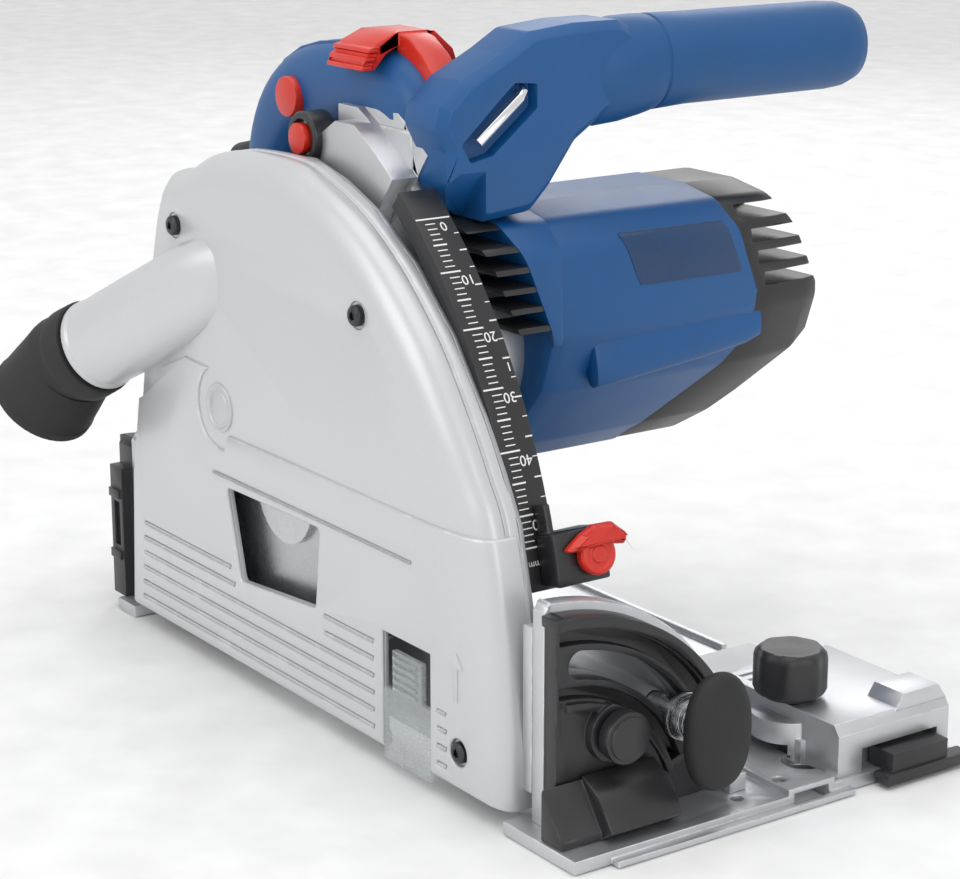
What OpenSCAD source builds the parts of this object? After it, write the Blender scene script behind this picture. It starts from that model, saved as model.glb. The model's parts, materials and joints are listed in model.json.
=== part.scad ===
// Track plunge saw. Millimetres. +X is the cutting direction, +Y points to the motor, +Z is up.
// The sole lies on Z = 0. Every sub-part is a module named after its node.

/* [Saw size] */
// Saw blade diameter
blade_d = 165; // [135:1:200]
// Far edge of the base plate, measured from the blade side of the saw
base_w = 178; // [146:1:216]
// Base plate thickness
plate_t = 5; // [4:0.1:6.2]
// Length of the blue motor housing
motor_len = 122; // [100:1:148]
// Motor housing size across its flats
motor_d = 112; // [100:1:113]

/* [Handles] */
// Main handle thickness
handle_d = 36; // [28:1:43]
// Front handle thickness
aux_d = 36; // [28:1:43]
// Front handle grip length
aux_len = 136; // [110:1:165]

/* [Motion] */
// Plunge travel in degrees, full depth
plunge_deg = 36.5; // [20:0.5:36.5]
// Bevel travel in degrees
bevel_deg = 47; // [30:1:47]

/* [Guard and dust port] */
// Guard wall thickness
wall = 2.5; // [2:0.1:3]
// Dust sleeve outlet radius
port_r = 17.5; // [14:0.5:20]

/* [Hidden] */

$fn = 48;
k = blade_d / 165;
eps = 0.01;
fit = 0.05;          // running clearance, radial
gap = 0.4;           // air gap between parts that move past each other

// Sole and head
near_y = -40.5 * k;
far_y = near_y + base_w;
blade_y = -31 * k;
guard_out = -40.5 * k;
guard_in = -20 * k;
guard_floor = 7;
rear_x = -150 * k;
nose_x = 124 * k;
base_rear = rear_x - 18;
base_front = nose_x + 44;
quad_x = nose_x + 8;
quad_t = 7;
cover_t = 7;
// The quadrants stop short of the ridge over the rail groove
groove_y = near_y + 0.56 * base_w;
quad_r = groove_y - blade_y - 6.18;
qs = quad_r / 84;
slot_r = 66 * qs;
slot_half = 5.2;
bolt_deg = 34;
bolt_r = 4;

// Plunge linkage, about the pivot shaft
pivot = [-117 * k, 36 * k];
arm_len = 98.8 * k;
rest_deg = 30.4;
arbor = pivot + arm_len * [cos(rest_deg), sin(rest_deg)];
shaft_r = 6;
scale_r = 228 * k;
scale_low = 11;
scale_high = 50;

// Gear train: module 1, spur
teeth_wheel = 36;
teeth_idler = 40;
teeth_pinion = 12;
mesh_deg = 67.5;
mesh_dir = [cos(mesh_deg), sin(mesh_deg)];
idler_c = arbor + (teeth_wheel + teeth_idler) / 2 * mesh_dir;
motor_c = idler_c + (teeth_idler + teeth_pinion) / 2 * mesh_dir;
gear_y = -7;
gear_w = 8;
box_low = -14;
box_high = 16;
box_r = 24;
box_wall = 2.5;

// Motor
motor_y = 36;
motor_end = motor_y + motor_len;
bore_r = 46;
arm_r = 22;

// ---------- helpers ----------
// Extrudes an X-Z profile along +Y, from y1 to y2
module along_y(y1, y2) translate([0, y2, 0]) rotate([90, 0, 0]) linear_extrude(y2 - y1) children();
// Extrudes a Y-Z profile along +X, from x1 to x2
module along_x(x1, x2)
  translate([x1, 0, 0]) rotate([90, 0, 90]) linear_extrude(x2 - x1) children();
// Round bar along Y about the X-Z point c
module bar_y(c, r, y1, y2) along_y(y1, y2) translate(c) circle(r);
// Round bar along X about the Y-Z point c
module bar_x(c, r, x1, x2) along_x(x1, x2) translate(c) circle(r);
module box(lo, hi) translate(lo) cube(hi - lo);
// Flat outline with two round ends
module stadium(a, b, r) {
  d = b - a;
  translate(a) circle(r);
  translate(b) circle(r);
  h = r * 0.997;
  translate(a) rotate(atan2(d[1], d[0])) translate([0, -h]) square([norm(d), 2 * h]);
}
// Ring sector about c, from angle a1 to a2
module sector(c, r1, r2, a1, a2) {
  steps = ceil((a2 - a1) / 45);
  step = (a2 - a1) / steps;
  far = r2 / cos(step / 2) + 1;
  translate(c) intersection() {
    difference() {
      circle(r2, $fn = 180);
      if (r1 > 0) circle(r1, $fn = 180);
    }
    polygon(concat([[0, 0]], [for (i = [0:steps]) far * [cos(a1 + i * step), sin(a1 + i * step)]]));
  }
}
// Point at radius r and angle a about the plunge pivot
function about(r, a) = pivot + r * [cos(a), sin(a)];
// Bar with round ends between two points
module rod(a, b, r) {
  d = b - a;
  translate(a) rotate([0, acos(d[2] / norm(d)), atan2(d[1], d[0])]) cylinder(r = r, h = norm(d));
}

// Involute spur gear outline, module 1, one tooth centred on +X
function inv_point(rb, t) = rb * [cos(t) + t * PI / 180 * sin(t), sin(t) - t * PI / 180 * cos(t)];
function turn(p, a) = [p[0] * cos(a) - p[1] * sin(a), p[0] * sin(a) + p[1] * cos(a)];
module gear_outline(n, add, ded, play) {
  rp = n / 2;
  rb = rp * cos(20);
  rt = rp + add;
  rr = rp - ded;
  t_end = sqrt(rt * rt / (rb * rb) - 1) * 180 / PI;
  half = 90 / n - play / rp * 90 / PI;
  shift = half + tan(20) * 180 / PI - 20;
  flank = [for (i = [0:4]) turn(inv_point(rb, t_end * i / 4), -shift)];
  root_a = -shift;
  low = rr < rb ? [rr * [cos(root_a), sin(root_a)]] : [];
  side = concat(low, flank);
  m = len(side);
  tooth = concat(side, [for (i = [m - 1:-1:0]) [side[i][0], -side[i][1]]]);
  polygon([for (j = [0:n - 1]) for (p = tooth) turn(p, j * 360 / n)]);
}

// ---------- base ----------
groove_w = 16.4;
groove_d = 5.2;
channel_top = 7.4;
slot_low = -114 * k;
slot_high = 74 * k;
module base_plate() color([0.74, 0.75, 0.77]) difference() {
  union() {
    box([base_rear, blade_y + 6, 0], [base_front, far_y, plate_t]);
    box([nose_x + 2, near_y, 0], [base_front, blade_y + 7, plate_t]);
    box([base_rear, near_y, 0], [rear_x - 2, blade_y + 7, plate_t]);
    box([base_rear, groove_y - 3, 0], [base_front, groove_y + groove_w + 3, channel_top]);
    // Stiffening ribs along and across the top
    box([base_rear, far_y - 3, 0], [38 * k, far_y, channel_top]);
    box([base_rear, far_y - 40, 0], [base_rear + 3, far_y, channel_top]);
    for (x = [rear_x + 26, rear_x + 66]) box([x, groove_y + 19, 0], [x + 2.5, far_y, channel_top]);
    // Front flange strip
    box([base_front, near_y + 16, 0], [base_front + 4, far_y - 52, 2.4]);
  }
  // Groove that runs on the guide rail
  box([base_rear - 1, groove_y, -1], [base_front + 1, groove_y + groove_w, groove_d]);
  // Way through for the blade and for the gear housing at full depth
  box([slot_low, blade_y, -1], [slot_high, -3, 20]);
  box([arbor[0] - 34 * k, -4, -1], [arbor[0] + 56 * k, 22, 20]);
  // Bolt slots and round pocket at the front
  bar_z([base_front - 18, 79], 8, 2.2, 20);
  for (y = [40, 60]) bar_z([base_front - 10, y], 2.6, -1, 20);
  for (y = [far_y - 26, far_y - 12]) bar_z([base_rear + 14, y], 3.2, -1, 20);
}
module bar_z(c, r, z1, z2) translate([c[0], c[1], z1]) cylinder(r = r, h = z2 - z1);

plat_y = groove_y + groove_w + 6;
plat_top = 25;
module fence_platform() color([0.72, 0.73, 0.75]) difference() {
  union() {
    // Raised step with a ramp at its rear
    along_y(plat_y, far_y) polygon([[40 * k, plate_t], [52 * k, 12], [92 * k, 14],
      [98 * k, plat_top], [base_front - 5, plat_top], [base_front - 2, 21],
      [base_front - 2, plate_t]]);
    // Boss under the fence knob
    bar_z([base_front - 36, far_y - 50], 15, plate_t, 20);
    box([base_front - 66, far_y - 58, plate_t], [base_front - 20, plat_y + 1, 14]);
    // Hump over the fence slot
    along_x(base_front - 20, base_front - 4)
      polygon([[far_y - 26, plat_top - 1], [far_y - 22, 30], [far_y - 4, 30], [far_y, plat_top - 1]]);
  }
  // Slot for the fence bar, right across
  box([base_front - 58, far_y - 90, plate_t + 1], [base_front - 36 + 11, far_y + 1, plate_t + 6.4]);
  // Grooves on top
  for (i = [0:4]) box([60 * k + i * 5, plat_y + 6 - 40, 12.9 + i * 0.25],
    [62 * k + i * 5, far_y - 5, 40]);
  for (i = [0:5]) box([104 * k + i * 5, plat_y + 5, plat_top - 1.4],
    [106 * k + i * 5, far_y - 30, 40]);
  // Threaded way for the fence screw
  bar_z([base_front - 36, far_y - 50], 4 + fit, plate_t + 5, 40);
  box([base_rear, groove_y - 9, 0], [base_front + 1, groove_y + groove_w + 3, channel_top]);
  // Window for the rail catch
  box([base_front - 8, far_y - 44, 0], [base_front + 1, far_y - 6, 14]);
}

module bracket_outline(r) difference() {
  union() {
    sector([blade_y, 0], 0, r, 0, 90);
    polygon([[near_y + 8, plate_t], [blade_y + 1, plate_t], [blade_y + 1, r], [near_y + 8, r - 3]]);
  }
  translate([-200, -200]) square([400, 200 + plate_t]);
}
bolt_c = [blade_y + slot_r * cos(bolt_deg), slot_r * sin(bolt_deg)];
module slot_cut() {
  band = slot_half - 0.02;
  sector([blade_y, 0], slot_r - band, slot_r + band, bolt_deg - 2, bolt_deg + bevel_deg + 1);
  for (a = [bolt_deg - 2, bolt_deg + bevel_deg + 1])
    translate([blade_y + slot_r * cos(a), slot_r * sin(a)]) circle(slot_half);
}
module front_bracket() color([0.75, 0.76, 0.78]) difference() {
  union() {
    along_x(quad_x, quad_x + quad_t) bracket_outline(quad_r + 3);
    box([quad_x, blade_y + 4, plate_t], [quad_x + quad_t + cover_t + 0.5, blade_y + 12, 16]);
    box([quad_x, foot_y, plate_t], [quad_x + 22, foot_y + 8, 12]);
  }
  along_x(quad_x - 1, quad_x + 30) slot_cut();
  along_x(quad_x - 1, quad_x + quad_t + 1) sector([blade_y, 0], 26 * qs, 46 * qs, 20, 84);
  bar_x(button_c, 7, quad_x - 1, quad_x + quad_t + 1);
}
button_c = [blade_y + 22 * qs, 39 * qs];
foot_y = blade_y + 71 * qs;
module front_cover() color([0.06, 0.06, 0.065]) difference() {
  union() {
    along_x(quad_x + quad_t, quad_x + quad_t + cover_t) difference() {
      bracket_outline(quad_r);
      translate([foot_y, -1]) square([60, 22]);
    }
    // Rim band round the arc
    along_x(quad_x + quad_t, quad_x + quad_t + cover_t + 2.5) {
      sector([blade_y, 0], quad_r - 4, quad_r, 18, 92);
      sector([blade_y, 0], 50 * qs, 53 * qs, 20, 88);
    }
    bar_x(button_c, 11, quad_x + quad_t, quad_x + quad_t + cover_t + 4);
  }
  along_x(quad_x, quad_x + 60) slot_cut();
  along_x(quad_x + quad_t + 3, quad_x + 60) difference() {
    sector([blade_y, 0], 54 * qs, quad_r - 5, 22, 90);
    sector([blade_y, 0], slot_r - slot_half - 2.5, slot_r + slot_half + 2.5, 22, 100);
  }
  bar_x(button_c, 6 + fit, quad_x + quad_t - 1, quad_x + 60);
  // Room for the bracket's two feet
  box([quad_x, blade_y + 4 - eps, 0], [quad_x + 30, blade_y + 12 + eps, 16 + eps]);
  box([quad_x, foot_y - eps, 0], [quad_x + 30, foot_y + 8 + eps, 12 + eps]);
}
module bevel_button() color([0.1, 0.1, 0.105]) {
  bar_x(button_c, 6, quad_x + quad_t + 1, quad_x + quad_t + cover_t + 6);
  bar_x(button_c, 9.5, quad_x + quad_t + cover_t + 6, quad_x + quad_t + cover_t + 11);
  bar_x(button_c, 8, quad_x + quad_t + cover_t + 10.5, quad_x + quad_t + cover_t + 12);
}
lever_x = quad_x + quad_t + cover_t + 1;
module foot_lever() color([0.07, 0.07, 0.075]) {
  along_y(blade_y + 9, blade_y + 41 * qs) polygon([[lever_x, plate_t], [lever_x + 12, plate_t], [lever_x + 18, 9],
    [lever_x + 10, 20], [lever_x, 25]]);
  along_y(near_y + 1, blade_y + 9.5) polygon([[lever_x, plate_t], [lever_x + 12, plate_t],
    [lever_x + 12, 8], [lever_x, 24]]);
}

module rear_bracket() color([0.75, 0.76, 0.78]) difference() {
  along_x(rear_x - 8 - quad_t, rear_x - 8) bracket_outline(quad_r - 4);
  along_x(rear_x - 40, rear_x) slot_cut();
}
module rear_cover() color([0.06, 0.06, 0.065]) difference() {
  union() {
    along_x(rear_x - 20 - quad_t, rear_x - 8 - quad_t) bracket_outline(quad_r - 8);
    along_x(rear_x - 22 - quad_t, rear_x - 8 - quad_t) sector([blade_y, 0], quad_r - 12, quad_r - 8, 10, 90);
    box([rear_x - 20 - quad_t, near_y + 3, plate_t], [rear_x - 9 - quad_t, near_y + 9, 64]);
    for (z = [22, 50]) box([rear_x - 19 - quad_t, near_y + 1.5, z], [rear_x - 10 - quad_t, near_y + 4, z + 4]);
  }
  along_x(rear_x - 60, rear_x) slot_cut();
  box([rear_x - 17 - quad_t, near_y, 28], [rear_x - 12 - quad_t, near_y + 5, 48]);
}

// ---------- things that move on the base ----------
module lobed_knob(c, z1, h, r) {
  difference() {
    bar_z(c, r, z1, z1 + h);
    for (i = [0:5]) bar_z(c + (r + 3.4) * [cos(60 * i), sin(60 * i)], 5.4, z1 - 1, z1 + h + 1);
  }
  bar_z(c, r - 3.6, z1 + h - eps, z1 + h + 2);
  bar_z(c, r - 4.5, z1 - 4, z1 + eps);
}
module fence_knob_front() color([0.07, 0.07, 0.075]) {
  lobed_knob([base_front - 36, far_y - 50], 30, 13, 14);
  bar_z([base_front - 36, far_y - 50], 4, 12, 31);
}
module fence_knob_rear() color([0.07, 0.07, 0.075]) {
  lobed_knob([base_rear + 64, far_y - 20], 12, 13, 12);
  bar_z([base_rear + 64, far_y - 20], 4, plate_t + 0.2, 13);
}
module cam(c) {
  bar_z(c, 9, channel_top + 0.3, channel_top + 5);
  box([c[0] - 2, c[1] - 8, channel_top + 4.9], [c[0] + 2, c[1] + 8, channel_top + 10]);
}
module rail_cam_front() color([0.12, 0.35, 0.2]) cam([base_front - 92 * k, groove_y + groove_w / 2]);
module rail_cam_rear() color([0.12, 0.35, 0.2]) cam([base_rear + 30, groove_y + groove_w / 2]);
module rail_catch() color([0.06, 0.06, 0.065]) {
  box([base_front - 7, far_y - 36, plate_t + 0.3], [base_front + 6, far_y - 8, 12.5]);
  box([base_front + 1, far_y - 40, 1.2], [base_front + 8, far_y + 2, plate_t + 0.6]);
}

// ---------- guard ----------
rim = [[rear_x, guard_floor], [rear_x + 3 * k, 69 * k], [-121 * k, 188 * k], [-97 * k, 206 * k],
  [-70 * k, 216 * k], [-25 * k, 218 * k], [-3 * k, 213 * k], [20 * k, 204 * k], [44 * k, 189 * k],
  [69 * k, 166 * k], [88 * k, 141 * k], [100 * k, 122 * k], [109 * k, 106 * k], [118 * k, 70 * k],
  [nose_x, 24 * k], [nose_x, guard_floor]];
face = [[rear_x + 2 * k, guard_floor + 4], [rear_x + 6 * k, 68 * k], [-118 * k, 180 * k],
  [-97 * k, 194 * k], [-70 * k, 202 * k], [-25 * k, 203 * k], [-6 * k, 199 * k], [16 * k, 190 * k],
  [43 * k, 172 * k], [60 * k, 153 * k], [72 * k, 132 * k], [80 * k, 104 * k], [87 * k, 80 * k],
  [104 * k, 40 * k], [108 * k, 24 * k], [108 * k, guard_floor + 4]];
module guard_solid(inset, y_face, y_back) {
  hull() {
    along_y(y_face, y_face + 0.5) offset(delta = -inset) polygon(face);
    along_y(y_face + 9 * k, y_back) offset(delta = -inset) polygon(rim);
  }
}
chip_window = [[-65 * k, 81 * k], [-55 * k, 44 * k], [3 * k, 49 * k], [7 * k, 82 * k]];
window_x = [50 * k, 82 * k];
window_z = 54;
pipe_start = [-76 * k, blade_y + 6 * k, 168 * k];
pipe_pitch = 118;
pipe_lean = 19;
sleeve_bend = 20;
pipe_r = 19.2;
pipe_end = 112 * k;
spigot_at = 8;
seat_r = 17.8;
module on_pipe() translate(pipe_start) rotate([0, 0, pipe_lean]) rotate([0, -pipe_pitch, 0]) children();
module guard() color([0.70, 0.71, 0.73]) difference() {
  union() {
    guard_solid(0, guard_out, guard_in - 2);
    // Step along the flank: the lower half stands proud
    along_y(guard_out - 1.2, guard_out + 2) polygon([[rear_x + 2 * k, guard_floor + 4],
      [rear_x + 6 * k, 68 * k], [rear_x + 14 * k, 96 * k], [-75 * k, 102 * k], [80 * k, 102 * k],
      [87 * k, 80 * k], [104 * k, 40 * k], [108 * k, 24 * k], [108 * k, guard_floor + 4]]);
  }
  difference() {
    guard_solid(wall, guard_out + wall, guard_in + 1);
    // Solid corners that take the screws
    for (p = screw_spots) bar_y(p, 6, guard_out, guard_in);
  }
  // Open underneath, for the blade
  box([rear_x + 6, guard_out + wall + 1, -1], [nose_x - 8, guard_in + 1, 60 * k]);
  along_y(guard_out - 5, guard_out + 6) polygon(chip_window);
  // Lines along the lower flank
  for (i = [0:5]) box([rear_x + 8, guard_out - 2, 13 + 6.8 * i], [-74 * k + i * 3, guard_out - 0.6, 14.2 + 6.8 * i]);
  for (i = [0:3]) box([18 * k, guard_out - 2, 13 + 6.8 * i], [44 * k, guard_out - 0.6, 14.2 + 6.8 * i]);
  // Opening that the clear window slides in
  box([window_x[0], guard_out - 3, -1], [window_x[1], guard_out + wall + 2, window_z]);
  // Outlet into the dust pipe
  on_pipe() cylinder(r = pipe_r - 3, h = 90 * k);
  for (p = screw_spots) bar_y(p, 2.2, guard_out - 3, guard_in);
  for (p = screw_spots) bar_y(p, 4.4, guard_out - 3, guard_out + 1);
}
screw_spots = [[-104 * k, 182 * k], [34 * k, 170 * k], [100 * k, 22 * k]];
module guard_screws() color([0.08, 0.08, 0.085])
  for (p = screw_spots) difference() {
    union() {
      bar_y(p, 4.2, guard_out - 2.2, guard_out + 1);
      bar_y(p, 2.1, guard_out, guard_in - 3);
    }
    along_y(guard_out - 3, guard_out - 0.8) translate(p) circle(1.9, $fn = 6);
  }
badge_c = [-70 * k, 113 * k];
module guard_badge() color([0.8, 0.8, 0.82]) {
  y0 = guard_out - 1;
  difference() {
    bar_y(badge_c, 10, y0, guard_out);
    bar_y(badge_c, 8.6, y0 - 1, y0 + 0.5);
  }
}
slot_arc = rest_deg - plunge_deg;
module guard_plate() color([0.62, 0.63, 0.65]) difference() {
  union() {
    along_y(guard_in - 2, guard_in) polygon(rim);
    // Seat for the plunge shaft
    bar_y(pivot, 13, guard_in - 2, guard_in + 3);
  }
  // Arc that the spindle nose travels in
  along_y(guard_in - 3, guard_in + 1) {
    sector(pivot, arm_len - 13.95, arm_len + 13.95, slot_arc, rest_deg);
    for (a = [slot_arc, rest_deg]) translate(about(arm_len, a)) circle(14);
  }
  bar_y(pivot, shaft_r, guard_in - 3, guard_in + 4);
  for (p = screw_spots) bar_y(p, 2.2, guard_in - 4, guard_in + 4);
  // Lightening slots
  along_y(guard_in - 3, guard_in + 1) stadium([-20 * k, 188 * k], [20 * k, 172 * k], 5);
}
module dust_pipe() color([0.71, 0.72, 0.74]) difference() {
  on_pipe() difference() {
    union() {
      translate([0, 0, -26 * k]) cylinder(r1 = 6, r2 = pipe_r, h = 40 * k);
      translate([0, 0, 14 * k - eps]) cylinder(r = pipe_r, h = pipe_end - 20 - 14 * k);
      cylinder(r = seat_r, h = pipe_end);
    }
    translate([0, 0, -1]) cylinder(r = pipe_r - 3, h = 200 * k);
  }
  // The pipe starts at the guard's skin
  guard_solid(0, guard_out, guard_in + 30);
  along_y(guard_out - 1.2, guard_out + 40) polygon([[rear_x - 4, 0], [rear_x + 8 * k, 68 * k],
    [rear_x + 14 * k, 96 * k], [-75 * k, 102 * k], [80 * k, 102 * k], [80 * k, 0]]);
  box([-130 * k, guard_out + 1, 40 * k], [60 * k, 60, 300]);
}
// Swivel sleeve: a collar on the pipe, a knee, and a mouth that points further down
module at_knee() translate([0, 0, pipe_end]) rotate([0, -sleeve_bend, 0]) children();
module dust_sleeve() color([0.05, 0.05, 0.055]) on_pipe() difference() {
  union() {
    translate([0, 0, pipe_end - 17]) cylinder(r = port_r + 3.6, h = 17);
    translate([0, 0, pipe_end]) sphere(port_r + 3.6);
    at_knee() cylinder(r1 = port_r + 3.4, r2 = port_r + 5.4, h = 24);
    at_knee() translate([0, 0, 24 - eps]) cylinder(r = port_r + 6, h = 4);
  }
  translate([0, 0, pipe_end - 18]) cylinder(r = seat_r + fit, h = 18.6);
  translate([0, 0, pipe_end]) sphere(min(port_r, seat_r) - 0.1);
  at_knee() cylinder(r = min(port_r, seat_r) + 0.2, h = spigot_at);
  at_knee() translate([0, 0, spigot_at - eps]) cylinder(r = min(port_r, seat_r), h = 60);
}
module view_window() color([0.8, 0.88, 0.92, 0.35]) {
  x1 = window_x[0] + 0.3;
  x2 = window_x[1] - 0.3;
  box([x1, guard_out - 0.6, 3.5], [x2, guard_out + 1.8, 32]);
  for (i = [0:4]) box([x1 + 8, guard_out - 1.9, 33 + 3 * i], [x2 - 8, guard_out - 0.59, 34.6 + 3 * i]);
  box([x1 + 6, guard_out - 0.6, 31.9], [x2 - 6, guard_out + 1.8, 48]);
  box([x1 + 12, guard_out - 1.4, 3.5], [x1 + 14, guard_out - 0.59, 14]);
}

// ---------- depth scale and stop ----------
module depth_scale() color([0.22, 0.22, 0.23]) {
  difference() {
    along_y(guard_in, -4) sector(pivot, scale_r - 5, scale_r + 3, scale_low, scale_high);
    along_y(guard_in + 3, 0) sector(pivot, scale_r - 9, scale_r, scale_low - 3, scale_high + 3);
  }
}
stop_low = 11.4;
stop_high = 16;
module depth_stop() color([0.07, 0.07, 0.075]) difference() {
  union() {
    along_y(-12, 11) sector(pivot, scale_r - 1, scale_r + 14, stop_low, stop_high);
    along_y(-11, -8) sector(pivot, scale_r + 3.3, scale_r + 10, stop_high - 0.5, stop_high + 2.6);
  }
  along_y(-30, -4 + 0.4) sector(pivot, scale_r - 3, scale_r + 3.3, stop_low - 5, stop_high + 5);
  stop_screw(4 + fit, 0);
}
stop_mid = (stop_low + stop_high) / 2;
module stop_screw(r, more) {
  c = about(scale_r + 2, stop_mid);
  translate([c[0], 4, c[1]]) rotate([0, 90 - stop_mid, 0]) translate([0, 0, 2]) cylinder(r = r, h = 40 + more);
}
module depth_clamp() color([0.85, 0.13, 0.07]) {
  c = about(scale_r + 2, stop_mid);
  translate([c[0], 4, c[1]]) rotate([0, 90 - stop_mid, 0]) {
    translate([0, 0, 3]) cylinder(r = 4, h = 12);
    translate([0, 0, 12.4]) cylinder(r = 8, h = 4);
    translate([0, 0, 16.3]) cylinder(r = 6.5, h = 1.5);
    translate([-1.6, -15, 12.4]) cube([3.2, 30, 4]);
  }
}

// ---------- tilting frame ----------
module tilt_outline() difference() {
  sector([blade_y, 0], 14, 76 * qs, 5, 90);
  sector([blade_y, 0], 28 * qs, 56 * qs, 24, 80);
  translate([-100, -100]) square([300, 100 + plate_t + 2]);
}
plate_front = nose_x + 6;
module tilt_frame() color([0.66, 0.67, 0.69]) difference() {
  union() {
    along_x(nose_x + 0.2, plate_front) tilt_outline();
    along_x(rear_x - 6, rear_x - 0.2) tilt_outline();
    // Flanges that hold the guard
    box([nose_x - 10, guard_in + 0.2, 14], [nose_x + 1, guard_in + 6, 70 * k]);
    box([rear_x - 1, guard_in + 0.2, 14], [rear_x + 12, guard_in + 6, 74]);
    // Outboard bearing of the plunge shaft
    box([rear_x - 1, 22, 22 * k], [pivot[0], 31, 50 * k]);
    bar_y(pivot, 13, 22, 31);
  }
  bar_y(pivot, shaft_r, 20, 40);
  bar_x(bolt_c, bolt_r, rear_x - 20, plate_front + 1);
}
module tilt_bolts() color([0.6, 0.6, 0.62]) {
  bar_x(bolt_c, bolt_r, nose_x + 0.3, plate_front + 27);
  bar_x(bolt_c, bolt_r, rear_x - 40, rear_x - 0.3);
  for (x = [quad_x + quad_t + cover_t + 0.4, rear_x - 24.2 - quad_t])
    difference() {
      bar_x(bolt_c, 9, x, x + 1.6);
      bar_x(bolt_c, bolt_r - 0.5, x - 1, x + 3);
    }
}
module wing(c, x1) {
  along_x(x1, x1 + 2) stadium(c + [0, -8], c + [0, 8], 12.5);
  along_x(x1 + 2 - eps, x1 + 8) stadium(c + [0, -8], c + [0, 8], 14);
  along_x(x1 + 8 - eps, x1 + 10) stadium(c + [0, -8], c + [0, 8], 12);
}
wing_x = quad_x + quad_t + cover_t + 2.4;
module wing_knob_front() color([0.07, 0.07, 0.075]) difference() {
  union() {
    bar_x(bolt_c, 7, wing_x, wing_x + 11);
    wing(bolt_c, wing_x + 10.9);
  }
  bar_x(bolt_c, bolt_r + fit, wing_x - 1, plate_front + 27.4);
}
rear_wing = rear_x - 25.4 - quad_t;
module wing_knob_rear() color([0.07, 0.07, 0.075]) difference() {
  union() {
    bar_x(bolt_c, 7, rear_wing - 9, rear_wing);
    wing(bolt_c, rear_wing - 18.9);
  }
  bar_x(bolt_c, bolt_r + fit, rear_x - 40.4, rear_wing + 1);
}
module pivot_shaft() color([0.6, 0.6, 0.62]) {
  bar_y(pivot, shaft_r, guard_in - 2, 33);
  bar_y(pivot, 9, 31, 34);
}

// ---------- plunging arm ----------
arm_top = 224 * k;
tower_low = 53;
module arm_outline() {
  stadium(pivot, arbor, 14);
  stadium(arbor, motor_c, box_r);
  stadium(pivot, motor_c, 13);
  stadium(pivot, about(150 * k, 76), 13);
  translate(lock_c) circle(9);
  intersection() {
    sector(pivot, 60 * k, arm_top, tower_low, 86);
    polygon([[-130 * k, 60 * k], [-108 * k, 190 * k], [-80 * k, 209 * k], [-48 * k, 217 * k],
      [-22 * k, 232 * k], [100 * k, 232 * k], [100 * k, 60 * k]]);
  }
}
// The tower stands only at the front of the handle, so fingers fit behind it
tower_rear = -32 * k;
module tower_shape(r, a2) intersection() {
  sector(pivot, 168 * k, r, tower_low, a2);
  translate([tower_rear, 0]) square([200 * k, 237 * k]);
}
module arm_casting() color([0.68, 0.69, 0.71]) difference() {
  union() {
    along_y(box_low, -6) arm_outline();
    bar_y(pivot, 14, box_low, 12);
    along_y(box_low, 2) stadium(arbor, motor_c, box_r);
    // Spindle nose
    bar_y(arbor, 12, guard_in - 4, box_low + 1);
    // Tower
    along_y(-2.8, 30) tower_shape(235 * k, 70);
    along_y(-6.1, 30) tower_shape(arm_top, 74);
  }
  // Room for the gears
  along_y(-9, 3) stadium(arbor, motor_c, box_r - box_wall);
  bar_y(pivot, shaft_r + fit, box_low - 9, 40);
  bar_y(arbor, 9, guard_in - 3, -8);
  bar_y(arbor, 7, guard_in - 9, -8);
  bar_y(idler_c, 4, box_low - 1, 0);
  bar_y(motor_c, 8, -13, 0);
  bar_y(lock_c, 5 + fit, box_low - 1, 30);
  along_y(2, 31) stadium(arbor, motor_c, box_r);
  bar_y(motor_c, 40, 15, 40);
  // Lightening pockets
  along_y(-10, 0) sector(pivot, 118 * k, 160 * k, 60, 68);
}
lock_c = about(202 * k, 68);
module gear_cover() color([0.68, 0.69, 0.71]) difference() {
  union() {
    along_y(2, box_high) stadium(arbor, motor_c, box_r);
    along_y(box_high - 1, motor_y) translate(motor_c) circle(40);
  }
  along_y(1, box_high - box_wall) stadium(arbor, motor_c, box_r - box_wall);
  bar_y(motor_c, 37, box_high + 3, motor_y + 1);
  bar_y(arbor, 9, 5, box_high - 1);
  bar_y(idler_c, 4, 5, box_high - 1);
  bar_y(motor_c, 11, 8, 30);
}
module return_spring() color([0.45, 0.46, 0.48])
  for (y = [13.6, 16, 18.4]) translate([pivot[0], y, pivot[1]]) rotate([90, 0, 0])
    rotate_extrude() translate([9, 0]) circle(1, $fn = 16);
module spindle_lock() color([0.8, 0.12, 0.07]) {
  bar_y(lock_c, 5, box_low - 2, -7);
  bar_y(lock_c, 6, guard_in + gap, box_low - 1.9);
}

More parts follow.
